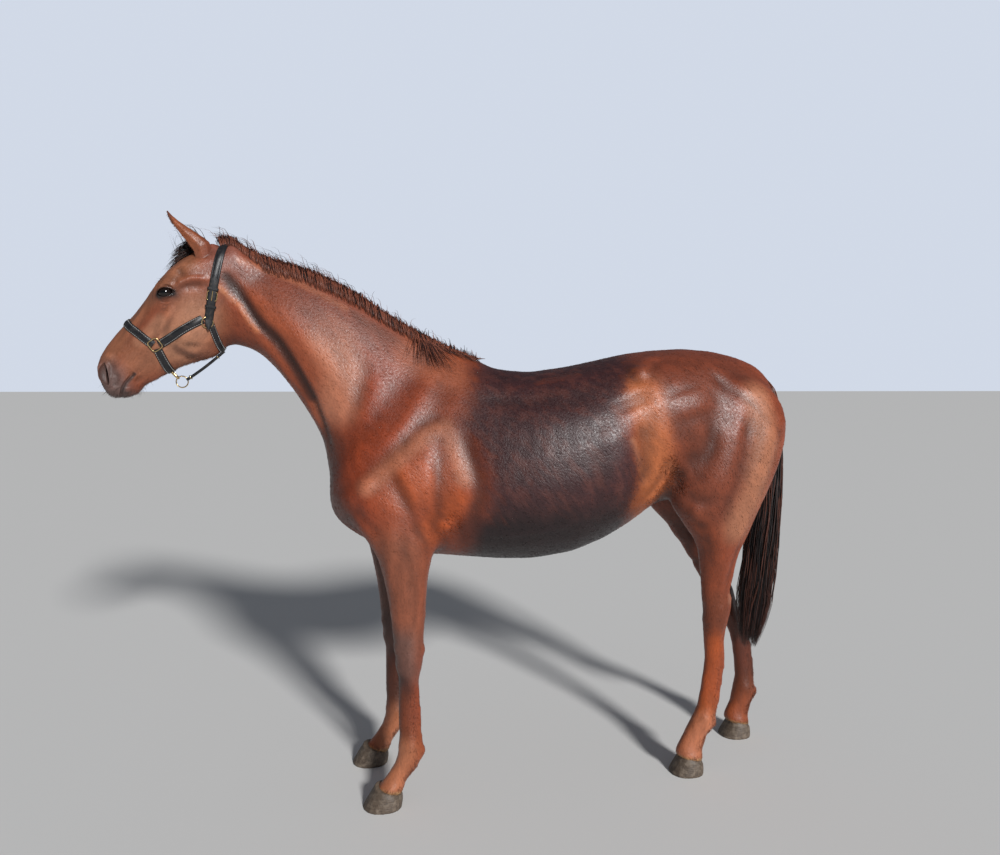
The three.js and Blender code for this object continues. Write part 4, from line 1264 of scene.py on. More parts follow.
# %% [markdown]
# ## Mane, forelock and tail
# The mane is short and fuzzy. Its roots sit in a strip along the crest; every lock rises, leans
# forward a little, goes over the crest and lies down on the right side of the neck. Some broken
# ones stay up. A longer lock falls on the left at the withers.

# %% The mane
MANE_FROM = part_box("mane")[0].x + 0.006
MANE_TO = 0.03
rough = np.random.default_rng(11)


def from_above(x, y):
    """The place on the finished skin that is met when coming from above."""
    return on_top(skin_tree, x, y)


def hang(start, x, run, length, side):
    """Three places for a lock that hangs down one side of the neck from start."""
    for part in (0.25, 0.62, 1.0):
        z = start.z - length * part
        spot = on_side(skin_tree, x + run * part, z, side) or start
        out = side * (0.004 + 0.009 * rough.random() * (1 - 0.5 * part))
        yield Vector((spot.x + rough.normal(0, 0.003), spot.y + out, z + 0.012 * (1 - part)))


def mane_lock(share):
    """Control places of one lock; share is 0 at the poll and 1 behind the withers."""
    x = MANE_FROM + (MANE_TO - MANE_FROM) * share
    thin = fade(share, 0.74, 0.98)
    near = rough.uniform(-0.043, 0.014) * (1 - 0.55 * thin)
    root = from_above(x, near)
    crest = from_above(x, 0)
    stand = (0.029 - 0.023 * thin) * rough.uniform(0.6, 1.15)
    lean = rough.normal(-0.014, 0.008) + 0.030 * thin
    top = Vector((root.x + lean, 0.30 * root.y + 0.003, crest.z + stand))
    half = from_above(root.x + lean * 0.4, root.y * 0.6)
    mid = half + Vector((0, 0.10 * root.y, 0.008 + 0.35 * stand))
    dots = [root - Vector((0, 0, 0.003)), mid, top]
    kind = rough.random()
    if kind < 0.30:  # broken hairs that stay up, and a few long ones that curl forward
        long = 0.006 + 0.012 * rough.random() + 0.030 * (kind < 0.03) * (1 - 0.5 * thin)
        ahead = rough.normal(-0.5, 0.35) * (1 - thin)
        tip = top + Vector((ahead, rough.normal(0, 0.4), 0.9)) * long
        return dots + [top.lerp(tip, 0.5), tip, tip + Vector((1.4 * ahead, rough.normal(0, 0.3), 0.1)) * long]
    fall = rough.uniform(0.07, 0.17) * (1 - 0.6 * thin) * (1 - 0.4 * fade(share, 0.12, 0))
    side = -1 if rough.random() < 0.55 * thin else 1
    return dots + list(hang(crest, root.x + lean, 0.02 + 0.05 * thin, fall * (0.45 if side < 0 else 1), side))


def withers_lock():
    """A strand of the longer lock that has fallen to the left at the withers."""
    x = rough.normal(-0.168, 0.016)
    root = from_above(x, rough.uniform(-0.012, 0.006))
    over = from_above(x + 0.010, -0.022) + Vector((0, -0.003, 0.007 + 0.006 * rough.random()))
    run = (x + 0.175) * 2.2 + rough.normal(0.028, 0.014)
    dots = [root - Vector((0, 0, 0.003)), root.lerp(over, 0.5) + Vector((0, 0, 0.009)), over]
    return dots + list(hang(over, x + 0.012, run, rough.uniform(0.07, 0.13), -1))


MANE_LOCKS, WITHERS_LOCKS, MANE_STEPS = 3600, 130, 9
dots = [mane_lock(share) for share in np.sort(rough.random(MANE_LOCKS))]
dots = np.array(dots + [withers_lock() for _ in range(WITHERS_LOCKS)])
paths = curve_through(dots, MANE_STEPS)
widths = taper(rough.uniform(0.0018, 0.0040, len(dots)), MANE_STEPS)
mane = blades("mane_hair", paths, widths, np.array((0.15, 0.3, 1.0)), rough.random(len(dots)))
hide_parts("mane")

# %% The halter's stitches, swept by the same function
stitch_count = len(stitch_paths)
stitching = blades("halter_stitching", np.array(stitch_paths), np.full((stitch_count, 4), 0.0016),
                   np.array(stitch_outs), rough.random(stitch_count), 0.45)

# %% The forelock
FORELOCK_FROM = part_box("forelock")[1].x


def forelock_lock():
    """A lock that springs from the poll; some lie on the brow and some stand off it."""
    x = FORELOCK_FROM - rough.uniform(-0.008, 0.042)
    y = np.clip(rough.normal(0, 0.013), -0.019, 0.019)
    root = from_above(x, y)
    bush = rough.uniform(0.0, 1.0)
    reach = rough.uniform(0.40, 1.0) * (0.112 - 0.016 * bush)
    spread = rough.normal(0, 0.024)
    wave = rough.normal(0, 0.004)
    dots = [root - Vector((0, 0, 0.003))]
    for part in (0.25, 0.5, 0.78, 1.0):
        x = root.x - reach * part
        y = root.y + spread * part**1.3 + wave * math.sin(5 * part)
        under = from_above(x, y) or root
        ground = min(under.z, root.z + 0.006)
        lift = bush * 0.054 * math.sin(1.8 * part) + 0.004 + rough.normal(0, 0.0012)
        dots.append(Vector((x, y, ground + lift)))
    return dots


FORELOCK_LOCKS, FORELOCK_STEPS = 1500, 10
dots = np.array([forelock_lock() for _ in range(FORELOCK_LOCKS)])
paths = curve_through(dots, FORELOCK_STEPS)
widths = taper(rough.uniform(0.0014, 0.0032, FORELOCK_LOCKS), FORELOCK_STEPS)
forelock = blades("forelock_hair", paths, widths, np.array((0.1, 0.2, 1.0)), rough.random(FORELOCK_LOCKS))
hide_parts("forelock")

# %% [markdown]
# The tail's hair grows all round the dock, which is the bony part in its upper third, and falls
# straight from there. A shrunk copy of its solid makes a full dark body; over it hang the locks,
# of many lengths, so the end is ragged. The middle line and the half sizes come from the solid,
# measured in slices, so hair and solid agree.

# %% Measure the tail in slices and make its body
tail_solid = copy_nodes("tail")
tail_rows = places(tail_solid)
heights = np.linspace(tail_rows[:, 2].max() - 0.004, tail_rows[:, 2].min() + 0.004, 30)
tail_tree = tree_of(tail_solid)
tail_middle, tail_half = [], []
columns = np.arange(1.1, 1.34, 0.004)
for z in heights:
    met = [tail_tree.ray_cast(Vector((x, 0, z)), Vector((0, 1, 0)))[0] for x in columns]
    inside = [(x, spot.y) for spot, x in zip(met, columns) if spot is not None]
    xs = [x for x, _ in inside] or [tail_middle[-1][0] if tail_middle else 1.19]
    ys = [y for _, y in inside] or [0.01]
    tail_middle.append(((min(xs) + max(xs)) / 2, 0, z))
    tail_half.append(((max(xs) - min(xs)) / 2 + 0.002, max(ys)))
tail_middle, tail_half = np.array(tail_middle), np.array(tail_half)
modify(tail_solid, "REMESH", mode="VOXEL", voxel_size=0.010, use_smooth_shade=True)
rows, normals = places(tail_solid), directions(tail_solid)
shrink = 0.012 + 0.022 * fade(rows[:, 2], 0.9, 0.5)
put(tail_solid, rows - normals * shrink[:, None])
tail_body = name_piece(tail_solid, "tail_body")
modify(tail_body, "SMOOTH", factor=0.5, iterations=8)
print("tail:", [tuple(round(float(v), 3) for v in row) for row in tail_half[::6]])

# %% Hang the tail's locks
TAIL_LOCKS, TAIL_STEPS = 2800, 12
LEAST_HALF = 0.036  # the loose end doesn't come to a point


def tail_spot(z, turn, depth):
    """A place in the tail at a height: turn runs round it, depth is 0 in its middle, 1 outside."""
    x = np.interp(-z, -heights, tail_middle[:, 0])
    least = LEAST_HALF * fade(z, 1.0, 0.7)
    along, across = (max(least, np.interp(-z, -heights, tail_half[:, k])) for k in (0, 1))
    return x + along * depth * math.cos(turn), across * depth * math.sin(turn)


def tail_lock():
    """A lock that starts on the dock and hangs, wandering a little round the tail."""
    turn = rough.uniform(-math.pi, math.pi)
    start = heights[0] - 0.008 - 0.36 * rough.random() ** 1.3
    finish = heights[-1] + 0.005 + 0.15 * rough.random() ** 1.6
    if rough.random() < 0.3:
        finish = start - rough.uniform(0.2, 0.95) * (start - finish)
    depth = rough.uniform(0.55, 0.98) if rough.random() < 0.93 else 1.10
    wave = rough.normal(0, 0.16)
    curl = 0.007 * fade(finish, 1.2, 0.6)
    dots = []
    for part in np.linspace(0, 1, 7):
        z = start + (finish - start) * part
        swing = turn + wave * math.sin(part * 4 + turn * 3)
        here = depth * (0.62 + 0.38 * min(1, part * 5)) * (1 - 0.12 * part**4)
        x, y = tail_spot(z, swing, here)
        bend = 26 * z + 2.5 * turn
        dots.append((x + curl * part * math.sin(bend), y + curl * part * math.cos(0.8 * bend), z))
    return dots


dots = np.array([tail_lock() for _ in range(TAIL_LOCKS)])
paths = curve_through(dots, TAIL_STEPS)
widths = taper(rough.uniform(0.0028, 0.0062, TAIL_LOCKS), TAIL_STEPS)
outward = paths * (1, 1, 0)
outward[..., 0] -= np.interp(-paths[..., 2], -heights, tail_middle[:, 0])
outward /= np.linalg.norm(outward, axis=2, keepdims=True) + 1e-9
tail_hair = blades("tail_hair", paths, widths, outward, rough.random(TAIL_LOCKS))
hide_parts("tail")

# %% Put the skin in the solids' place
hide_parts(*FLESH, "ear_left", "ear_right")
bpy.data.objects.remove(solids)
print("the skin replaces", len(FLESH) + 2, "nodes")

# %% [markdown]
# ## Colours of the coat
# A chestnut coat is never one brown. As a model painter would with an airbrush, broad soft
# strokes are laid over a copper ground: darker on the croup and at the knees, paler on the
# flank and the pasterns. Some strokes are painted light and shade: painted shade in the grooves,
# on the chest, down the throat and in front of the stifle, painted highlights on ridges and over
# the triceps, and painted sheen on the lower neck, the cheek and the stifle. Each stroke is a
# path in metres seen from the side, with a width and a colour, and it colours both sides. The
# barrel's dark saddle has edges of its own. It and the orange flank are partly the coat's own
# colours and partly painted shade, light and reflection.
# The result is kept in the mesh, because every hair that grows from the skin then takes the same
# colour from its root.

# %% Airbrush strokes: colour, width, strength, then places (x, z)
COPPER = (0.215, 0.054, 0.024)
STROKES = {
    "crest": ((0.190, 0.070, 0.055), 0.070, 0.8, [(-0.85, 1.98), (-0.60, 1.84), (-0.40, 1.73),
                                                  (-0.16, 1.62)]),
    # painted shade under the throat and down the front of the neck
    "throat": ((0.095, 0.025, 0.014), 0.100, 0.7, [(-0.80, 1.62), (-0.70, 1.42), (-0.66, 1.25),
                                                   (-0.60, 1.10)]),
    "neck side": ((0.260, 0.078, 0.040), 0.120, 0.7, [(-0.72, 1.80), (-0.55, 1.58), (-0.48, 1.40)]),
    "shoulder": ((0.228, 0.046, 0.017), 0.140, 0.8, [(-0.30, 1.50), (-0.38, 1.28), (-0.42, 1.14)]),
    # painted sheen: a pale pinkish patch on the lower neck
    "lower neck": ((0.420, 0.205, 0.155), 0.085, 0.75, [(-0.50, 1.68), (-0.45, 1.56), (-0.47, 1.44)]),
    # painted shade in the jugular groove behind the jaw
    "neck groove": ((0.032, 0.011, 0.008), 0.022, 0.85, JUGULAR[:8]),
    # painted highlight on the ridge along the edge of that groove
    "edge of that groove": ((0.430, 0.170, 0.090), 0.011, 0.85, BEHIND_JAW[:4] + [(-0.745, 1.700)]),
    "upper neck": ((0.190, 0.050, 0.024), 0.060, 0.6, [(-0.72, 1.86), (-0.60, 1.79), (-0.49, 1.71)]),
    # painted highlight along the ridge of the neck below the mane
    "ridge of the neck": ((0.320, 0.130, 0.080), 0.014, 0.6, [(-0.80, 1.945), (-0.683, 1.905),
                                                             (-0.605, 1.875), (-0.527, 1.83),
                                                             (-0.443, 1.785)]),
    # painted shade in a band under the ridge of the neck
    "under that ridge": ((0.160, 0.038, 0.017), 0.024, 0.6, [(-0.793, 1.913), (-0.68, 1.869), (-0.526, 1.805),
                                                            (-0.406, 1.733)]),
    "stubble before the withers": ((0.130, 0.056, 0.046), 0.024, 0.45, [(-0.406, 1.765), (-0.321, 1.704),
                                                                       (-0.247, 1.674), (-0.185, 1.65)]),
    "upper arm": ((0.330, 0.086, 0.030), 0.110, 0.7, [(-0.25, 1.16), (-0.14, 1.22)]),
    # painted highlight in an arc over the triceps
    "over the triceps": ((0.390, 0.190, 0.140), 0.038, 0.6, [(-0.371, 1.158), (-0.30, 1.22), (-0.24, 1.28),
                                                             (-0.145, 1.347), (-0.094, 1.36), (-0.05, 1.25),
                                                             (-0.036, 1.186)]),
    # painted shade on the front of the chest
    "chest": ((0.050, 0.017, 0.011), 0.075, 0.7, [(-0.52, 1.30), (-0.51, 1.16), (-0.46, 1.04)]),
    # painted shade at the front of the stifle and down the front of the hind leg
    "front of the stifle": ((0.030, 0.010, 0.007), 0.062, 0.85, [(0.745, 1.08), (0.78, 0.97),
                                                                (0.82, 0.86), (0.85, 0.70)]),
    "whorl of the flank": ((0.035, 0.014, 0.010), 0.024, 0.8, [(0.711, 1.223), (0.75, 1.185),
                                                              (0.763, 1.139)]),
    # painted highlight along the rear edge of the barrel
    "edge of the barrel": ((0.520, 0.300, 0.220), 0.016, 0.45, [(0.557, 1.313), (0.595, 1.222),
                                                               (0.624, 1.156)]),
    "bald point of the hock": ((0.460, 0.270, 0.230), 0.012, 0.8, [(1.002, 0.70), (1.002, 0.675)]),
    # painted sheen: a greyish patch on the stifle
    "stifle": ((0.150, 0.080, 0.070), 0.040, 0.5, [(0.84, 1.04), (0.88, 1.00)]),
    "lower face": ((0.290, 0.125, 0.070), 0.080, 0.6, [(-1.14, 1.60), (-1.05, 1.63)]),
    "ear": ((0.270, 0.085, 0.032), 0.045, 0.6, [(-1.0, 2.06), (-0.95, 2.0)]),
    "elbow": ((0.330, 0.078, 0.020), 0.060, 0.9, [(-0.15, 1.00), (-0.10, 1.05), (-0.07, 1.11)]),
    "withers": ((0.360, 0.130, 0.080), 0.080, 0.7, [(-0.20, 1.62), (-0.06, 1.56)]),
    # the orange flank is partly the coat's own colour and partly painted light
    "flank": ((0.500, 0.185, 0.080), 0.085, 0.9, [(0.62, 1.50), (0.645, 1.38), (0.655, 1.25), (0.66, 1.12)]),
    "groin": ((0.360, 0.120, 0.048), 0.045, 0.8, [(0.60, 1.08), (0.66, 1.02), (0.72, 0.98)]),
    "croup": ((0.150, 0.042, 0.024), 0.110, 0.8, [(0.66, 1.60), (0.82, 1.62), (0.98, 1.56)]),
    "haunch": ((0.155, 0.044, 0.023), 0.170, 0.9, [(0.80, 1.42), (0.88, 1.24), (0.86, 1.06)]),
    "buttock": ((0.370, 0.190, 0.135), 0.070, 0.8, [(1.06, 1.46), (1.08, 1.30), (1.04, 1.12), (0.98, 0.98)]),
    "gaskin": ((0.185, 0.047, 0.018), 0.110, 0.8, [(0.84, 0.94), (0.88, 0.82), (0.92, 0.72)]),
    "hock": ((0.105, 0.032, 0.014), 0.070, 0.7, [(0.95, 0.66), (0.94, 0.56)]),
    "hind cannon": ((0.280, 0.066, 0.014), 0.070, 0.9, [(0.94, 0.50), (0.92, 0.36), (0.90, 0.26)]),
    "forearm": ((0.185, 0.076, 0.052), 0.120, 0.8, [(-0.26, 0.92), (-0.26, 0.78), (-0.25, 0.64)]),
    "knee": ((0.100, 0.062, 0.064), 0.072, 0.88, [(-0.26, 0.59), (-0.25, 0.50)]),
    "below the knee": ((0.035, 0.012, 0.010), 0.045, 0.9, [(-0.26, 0.45), (-0.25, 0.42)]),
    "fore cannon": ((0.095, 0.026, 0.010), 0.060, 0.85, [(-0.26, 0.38), (-0.26, 0.26)]),
    "fore pastern": ((0.345, 0.140, 0.100), 0.065, 0.85, [(-0.26, 0.19), (-0.30, 0.09)]),
    "hind pastern": ((0.370, 0.145, 0.105), 0.065, 0.85, [(0.90, 0.19), (0.86, 0.09)]),
    "forehead": ((0.230, 0.100, 0.055), 0.060, 0.7, [(-0.98, 1.93), (-1.08, 1.84)]),
    "bridge": ((0.230, 0.100, 0.056), 0.050, 0.7, [(-1.12, 1.80), (-1.20, 1.70), (-1.25, 1.62)]),
    # the cheek's pale pinkish colour is partly its own and partly painted sheen
    "cheek": ((0.400, 0.200, 0.125), 0.100, 0.7, [(-0.94, 1.74), (-1.00, 1.66)]),
    "jaw edge": ((0.170, 0.060, 0.034), 0.035, 0.6, [(-0.87, 1.64), (-0.95, 1.58), (-1.05, 1.56)]),
    # painted shade below the cheek, along the lower edge of the masseter
    "below the cheek": ((0.100, 0.034, 0.022), 0.017, 0.6, [(-1.016, 1.636), (-0.985, 1.616),
                                                           (-0.945, 1.608)]),
    # painted shade under the ridge above and behind the eye
    "below the brow": ((0.130, 0.042, 0.024), 0.012, 0.6, [(-0.985, 1.848), (-0.951, 1.860),
                                                          (-0.915, 1.858)]),
    # painted shade in the hollow in front of the cheek
    "before the cheek": ((0.130, 0.050, 0.030), 0.014, 0.5, [(-1.078, 1.684), (-1.064, 1.710)]),
    # painted highlight along the facial crest
    "crest of face": ((0.400, 0.190, 0.118), 0.024, 0.6, [(-1.06, 1.73), (-1.14, 1.66)]),
    "round the eye": ((0.070, 0.028, 0.020), 0.026, 0.7, [(-1.06, 1.815), (-1.01, 1.82)]),
    "lids": ((0.012, 0.008, 0.008), 0.013, 1.0, [(-1.058, 1.815), (-1.012, 1.821)]),
    "ear edge": ((0.060, 0.022, 0.014), 0.012, 0.6, [(-1.034, 2.105), (-1.005, 2.03), (-0.975, 1.99)]),
    # painted shade in the line between the lips
    "lip line": ((0.030, 0.018, 0.017), 0.0075, 0.9, [(-1.160, 1.548), (-1.185, 1.519), (-1.200, 1.490)]),
}
print("strokes of paint:", len(STROKES))

# %% The dark saddle, the grey muzzle, the coronets, painted shade under the belly and inside the legs, and all of it together
GREY_SKIN = (0.095, 0.066, 0.060)
CORONET = (0.330, 0.235, 0.155)
DEEPEN, DEEPEN_HEAD, DEEPEN_LEG = (0.88, 0.68, 0.50), (1.03, 0.98, 0.90), (0.92, 0.80, 0.52)
SADDLE_FRONT = [(1.62, -0.005), (1.56, -0.018), (1.47, -0.032), (1.37, -0.075), (1.28, -0.021),
                (1.20, 0.007), (1.0, 0.0)]  # (height, x) of the dark part's edge
SADDLE_REAR = [(1.62, 0.60), (1.58, 0.601), (1.51, 0.550), (1.40, 0.506), (1.35, 0.522),
               (1.22, 0.588), (1.15, 0.591), (1.0, 0.56)]
# a pale line in the dark saddle along the skin fold on the back: partly a pale mark where a saddle once
# rubbed, partly painted highlight on the fold
SADDLE_MARK_AND_HIGHLIGHT = [(0.243, 1.518), (0.288, 1.529), (0.398, 1.549)]  # where a saddle once rubbed


def edge_at(edge, z):
    """Where an edge, given as (height, x), lies at each height."""
    heights, values = zip(*sorted(edge))
    return np.interp(z, heights, values)


def coat_paint(rows, normals):
    """Colour of the coat at places on the horse, and how dark, bare, of a leg or a face each is."""
    x, y, z = rows.T
    colour = np.tile(np.array(COPPER), (len(rows), 1))
    flat = np.stack([x, z], axis=1)
    for shade, width, strength, path in STROKES.values():
        gap = near_path(flat, path)[0]
        colour += (np.array(shade) - colour) * (strength * fade(gap, width * 1.35, width * 0.25))[:, None]
    leg = share_of_leg(rows)
    # painted shade: the inner sides of the legs, which face each other, are darkened
    inner = leg * fade(normals[:, 1] * np.sign(y), 0.15, -0.55) * fade(z, 0.10, 0.30)
    colour *= 1 - 0.62 * inner[:, None]
    for name in LEGS:
        low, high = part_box(name + "_hoof")
        here = (x > low.x - 0.03) & (x < high.x + 0.03) & (y > low.y - 0.03) & (y < high.y + 0.03)
        line = high.z - 0.022 * (x - low.x) / (high.x - low.x)
        band = here * fade(z, line + 0.022, line + 0.010)
        colour += (np.array(CORONET) - colour) * (0.75 * band)[:, None]
    # the dark saddle: partly the coat's own darker hair, partly painted shade and reflection
    front = x - edge_at(SADDLE_FRONT, z)
    rear = edge_at(SADDLE_REAR, z) - x
    saddle = np.minimum(fade(front, -0.10, 0.15), fade(rear, -0.11, 0.09))
    saddle *= 1 - 0.30 * fade(near_path(flat, SADDLE_MARK_AND_HIGHLIGHT)[0], 0.020, 0.003)
    # painted shade: this mask marks the underside of the belly, which the colouring turns nearly black
    belly = fade(z, 1.14, 1.00) * fade(x, -0.10, 0.05) * fade(x, 0.66, 0.54)
    along_head = share_of_head(rows)
    lips = (EYE.x + LIP_FRONT[0], EYE.z + LIP_FRONT[1])
    muzzle_gap = near_path(flat, [(NOSTRIL.x + 0.01, NOSTRIL.z - 0.01), lips])[0]
    muzzle = fade(muzzle_gap, 0.085, 0.020) * fade(along_head, 0.5, 1)
    deeper = np.array(DEEPEN) + (np.array(DEEPEN_HEAD) - DEEPEN) * along_head[:, None]
    deeper += (np.array(DEEPEN_LEG) - DEEPEN) * (leg * fade(z, 0.34, 0.22))[:, None]
    colour = colour * deeper
    colour += (np.array(GREY_SKIN) - colour) * (0.85 * muzzle)[:, None]
    return {"paint": colour, "saddle": saddle, "belly": belly, "bare": muzzle, "leg": leg, "face": along_head}


def keep(piece, key, values):
    """Stores one number or one colour for each vertex."""
    values = np.asarray(values, np.float32)
    if values.ndim == 1:
        piece.data.attributes.new(key, "FLOAT", "POINT").data.foreach_set("value", values)
    else:
        rgba = np.concatenate([values, np.ones((len(values), 1), np.float32)], axis=1)
        piece.data.attributes.new(key, "FLOAT_COLOR", "POINT").data.foreach_set("color", rgba.ravel())


kept = coat_paint(skin_rows, skin_normals)
for key, values in kept.items():
    keep(skin, key, values)
print("saddle covers", int((kept["saddle"] > 0.5).sum()), "of", len(skin_rows), "places")

# %% [markdown]
# ## The short coat
# Short hair lies flat, so most of it is the grain in the material. Real blades are set where
# hair breaks the form: in the ears, along the jaw, on the flank, at the elbows, behind the
# cannons and fetlocks and over the hooves. A thin scatter of them all over the body roughens the
# outline. One function says for each place how dense, how long and how raised the hair is, and
# another which way it lies.

# %% How the coat lies and how long it is
LIE = {"body": (1.0, 0, -0.60), "neck": (0.70, 0, -0.72), "haunch": (0.50, 0, -0.87),
       "belly": (1.0, 0, -0.05), "head": (-0.62, 0, -0.78), "leg": (0.06, 0, -1.0)}
WHORL = np.array((0.712, 1.220))


def lie_of(rows, normals):
    """The direction in which hair lies at each place, along the surface."""
    x, y, z = rows.T
    shares = [("body", np.ones(len(rows))), ("neck", fade(x, -0.35, -0.60)), ("haunch", fade(x, 0.62, 0.86)),
              ("belly", fade(z, 1.10, 1.00) * fade(x, -0.1, 0.05) * fade(x, 0.66, 0.54)),
              ("leg", share_of_leg(rows)), ("head", share_of_head(rows))]
    lie = np.zeros_like(rows)
    for name, share in shares:
        lie += (np.array(LIE[name]) - lie) * share[:, None]
    back, up = (rows[:, [0, 2]] - WHORL).T
    near = np.hypot(back, up)
    swirl = np.stack([back - up, 0 * x, up + back], axis=1)
    swirl /= near[:, None] + 1e-6
    lie += (swirl - lie) * fade(near, 0.10, 0.03)[:, None]
    lie -= normals * np.einsum("ij,ij->i", lie, normals)[:, None]
    return lie / (np.linalg.norm(lie, axis=1, keepdims=True) + 1e-9)


def near_dots(rows, dots, reach):
    """1 at the places x, z of a path, 0 at reach from it, on both sides of the horse."""
    return fade(near_path(rows[:, [0, 2]], dots)[0], reach, reach * 0.35)


def coat_habit(rows, normals):
    """Hairs per square metre, their length and their lift at the tip."""
    x, y, z = rows.T
    leg, face = share_of_leg(rows), share_of_head(rows)
    dense, long = 6500 + 3000 * leg + 7000 * face, 0.011 - 0.004 * leg - 0.006 * face
    lift = 0.0009 - 0.0003 * np.maximum(face, leg)

    def add(share, more, length, raised):
        nonlocal dense, long, lift
        dense = dense + more * share
        long = long + (length - long) * share
        lift = lift + (raised - lift) * share

    for name in LEGS:
        low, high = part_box(name + "_hoof")
        ring = fade(np.hypot(x - (low.x + high.x) / 2, y - (low.y + high.y) / 2), 0.14, 0.11)
        to_rear = fade(normals[:, 0], 0.1, 0.6)
        add(ring * to_rear * fade(abs(z - 0.145), 0.065, 0.025), 60000, 0.018, 0.0035)
        add(ring * to_rear * fade(abs(z - 0.30), 0.14, 0.08), 14000, 0.010, 0.0030)
        add(ring * fade(z, high.z + 0.020, high.z + 0.004), 70000, 0.009, 0.0016)
    add(near_dots(rows, [(-0.10, 1.00), (-0.07, 1.04)], 0.05), 16000, 0.015, 0.0028)
    add(near_dots(rows, [(0.712, 1.22), (0.740, 1.18), (0.760, 1.14)], 0.045), 30000, 0.020, 0.0050)
    add(near_dots(rows, [(0.70, 1.13), (0.66, 1.07)], 0.030), 20000, 0.014, 0.0035)
    under = fade(abs(y), 0.035, 0.012) * fade(normals[:, 2], -0.3, -0.8)
    add(under * fade(x, -0.2, -0.1) * fade(x, 0.7, 0.6), 15000, 0.015, 0.0050)
    add(face * fade(normals[:, 2], -0.45, -0.8), 14000, 0.011, 0.0030)
    top = fade(z, 1.955, 1.985) * fade(x, -0.89, -0.91)
    hollow = top * fade(normals[:, 0], -0.05, -0.5)
    add(top, 30000, 0.005, 0.0008)
    add(hollow, 50000, 0.007, 0.0018)
    bare = fade(np.linalg.norm(rows[:, [0, 2]] - np.array((NOSTRIL.x, NOSTRIL.z)), axis=1), 0.06, 0.03)
    dense = dense * (1 - 0.75 * bare)
    eye_gap = np.linalg.norm(rows[:, [0, 2]] - np.array((EYE.x, EYE.z)), axis=1)
    dense = dense * fade(eye_gap, 0.026, 0.034)
    return dense, long, lift


# %% Plant the short hairs
sown = np.random.default_rng(23)
face_areas = read_all(skin.data.polygons, "area")
face_rows = read_all(skin.data.polygons, "center", 3)
face_normals = read_all(skin.data.polygons, "normal", 3)
dense, long, lift = coat_habit(face_rows, face_normals)
picked = np.repeat(np.arange(len(face_areas)), sown.poisson(dense * face_areas))
normal = face_normals[picked]
side_step = sown.uniform(-1, 1, (len(picked), 3)) * (np.sqrt(face_areas[picked]) * 0.5)[:, None]
side_step -= normal * np.einsum("ij,ij->i", side_step, normal)[:, None]
roots = face_rows[picked] + side_step
lie = lie_of(roots, normal)
lie = lie + np.cross(normal, lie) * sown.normal(0, 0.22, len(picked))[:, None]
grown = (long[picked] * sown.uniform(0.6, 1.25, len(picked)))[:, None]
raised = (lift[picked] * sown.uniform(0.3, 1.3, len(picked)))[:, None]
hair_paths = np.stack([roots - normal * 0.0006, roots + lie * grown * 0.45 + normal * raised * 0.75,
                       roots + lie * grown + normal * raised], axis=1)
hair_widths = (0.00075 + 0.045 * grown) * np.array((1.0, 0.8, 0.12))
print("planted:", len(picked), "hairs of", round(float(grown.mean()) * 1000, 1), "mm on average")

# %% Sweep the short hairs, in pieces from the head to the tail
TUFTS_IN_PIECE = 13500
order = np.argsort(roots[:, 0])
coat_hairs = []
for number, chosen in enumerate(np.array_split(order, math.ceil(len(order) / TUFTS_IN_PIECE))):
    outward = np.repeat(normal[chosen][:, None], 3, axis=1)
    tints = sown.random(len(chosen))
    piece = blades(f"coat_hair_{number + 1}", hair_paths[chosen], hair_widths[chosen], outward, tints, 0.35,
                   skin_maps[picked[chosen]])
    for key, values in coat_paint(roots[chosen], normal[chosen]).items():
        keep(piece, key, np.repeat(values, 9, axis=0))  # a hair has three points of three corners
    coat_hairs.append(piece)
print("short hairs:", len(picked), "in", len(coat_hairs), "pieces")

# %% Whiskers on the muzzle and chin and round the eyes, and the upper lashes
whisker_paths = []
LASHES, LASH_LONG = 34, 0.011
WHISKERS = {  # place from the eye, spread, how many on each side, length
    "muzzle": ((-0.205, -0.300), 0.050, 60, 0.018),
    "chin": ((-0.120, -0.335), 0.035, 50, 0.021),
    "under the eye": ((-0.005, -0.045), 0.016, 8, 0.035),
    "over the eye": ((-0.005, 0.040), 0.014, 6, 0.030),
}
for (back, up), reach, count, length in WHISKERS.values():
    for side in (-1, 1):
        for _ in range(count):
            x = EYE.x + back + sown.normal(0, reach / 2)
            z = EYE.z + up + sown.normal(0, reach / 2)
            spot = on_side(skin_tree, x, z, side)
            if spot is None:
                continue
            out = skin_tree.find_nearest(spot)[1]
            grow = length * sown.uniform(0.5, 1.2)
            bend = Vector((-0.3, 0, -0.6)) * grow * 0.5
            half, tip = spot + out * grow * 0.5 + bend * 0.25, spot + out * grow * 0.85 + bend
            whisker_paths.append([spot - out * 0.001, half, tip])
for side in (-1, 1):
    for turn in np.linspace(0.25 * math.pi, 0.80 * math.pi, LASHES):
        spot = slit_place(turn, side, 0.001)
        tip = spot + Vector((0.25 * math.cos(turn), side * 1.0, -0.28)).normalized() * LASH_LONG
        half = spot.lerp(tip, 0.5) - Vector((0, 0, 0.001))
        whisker_paths.append([spot - Vector((0, side * 0.001, 0)), half, tip])
whisker_paths = np.array(whisker_paths)
whisker_widths = np.full((len(whisker_paths), 3), 0.0007) * np.array((1, 0.7, 0.15))
whiskers = blades("whiskers_and_lashes", whisker_paths, whisker_widths, np.array((-0.6, 0.2, 0.7)),
                  sown.random(len(whisker_paths)))

# %% Find hollows and ridges, for painted shade in the creases and painted light on the ridges
def relief(piece, rounds):
    """How far each place stands out from a smoothed copy of the surface, along its normal."""
    rows, pairs = places(piece), edges_of(piece)
    soft = np.stack([average(axis, pairs, rounds) for axis in rows.T], axis=1)
    return np.einsum("ij,ij->i", rows - soft, directions(piece))


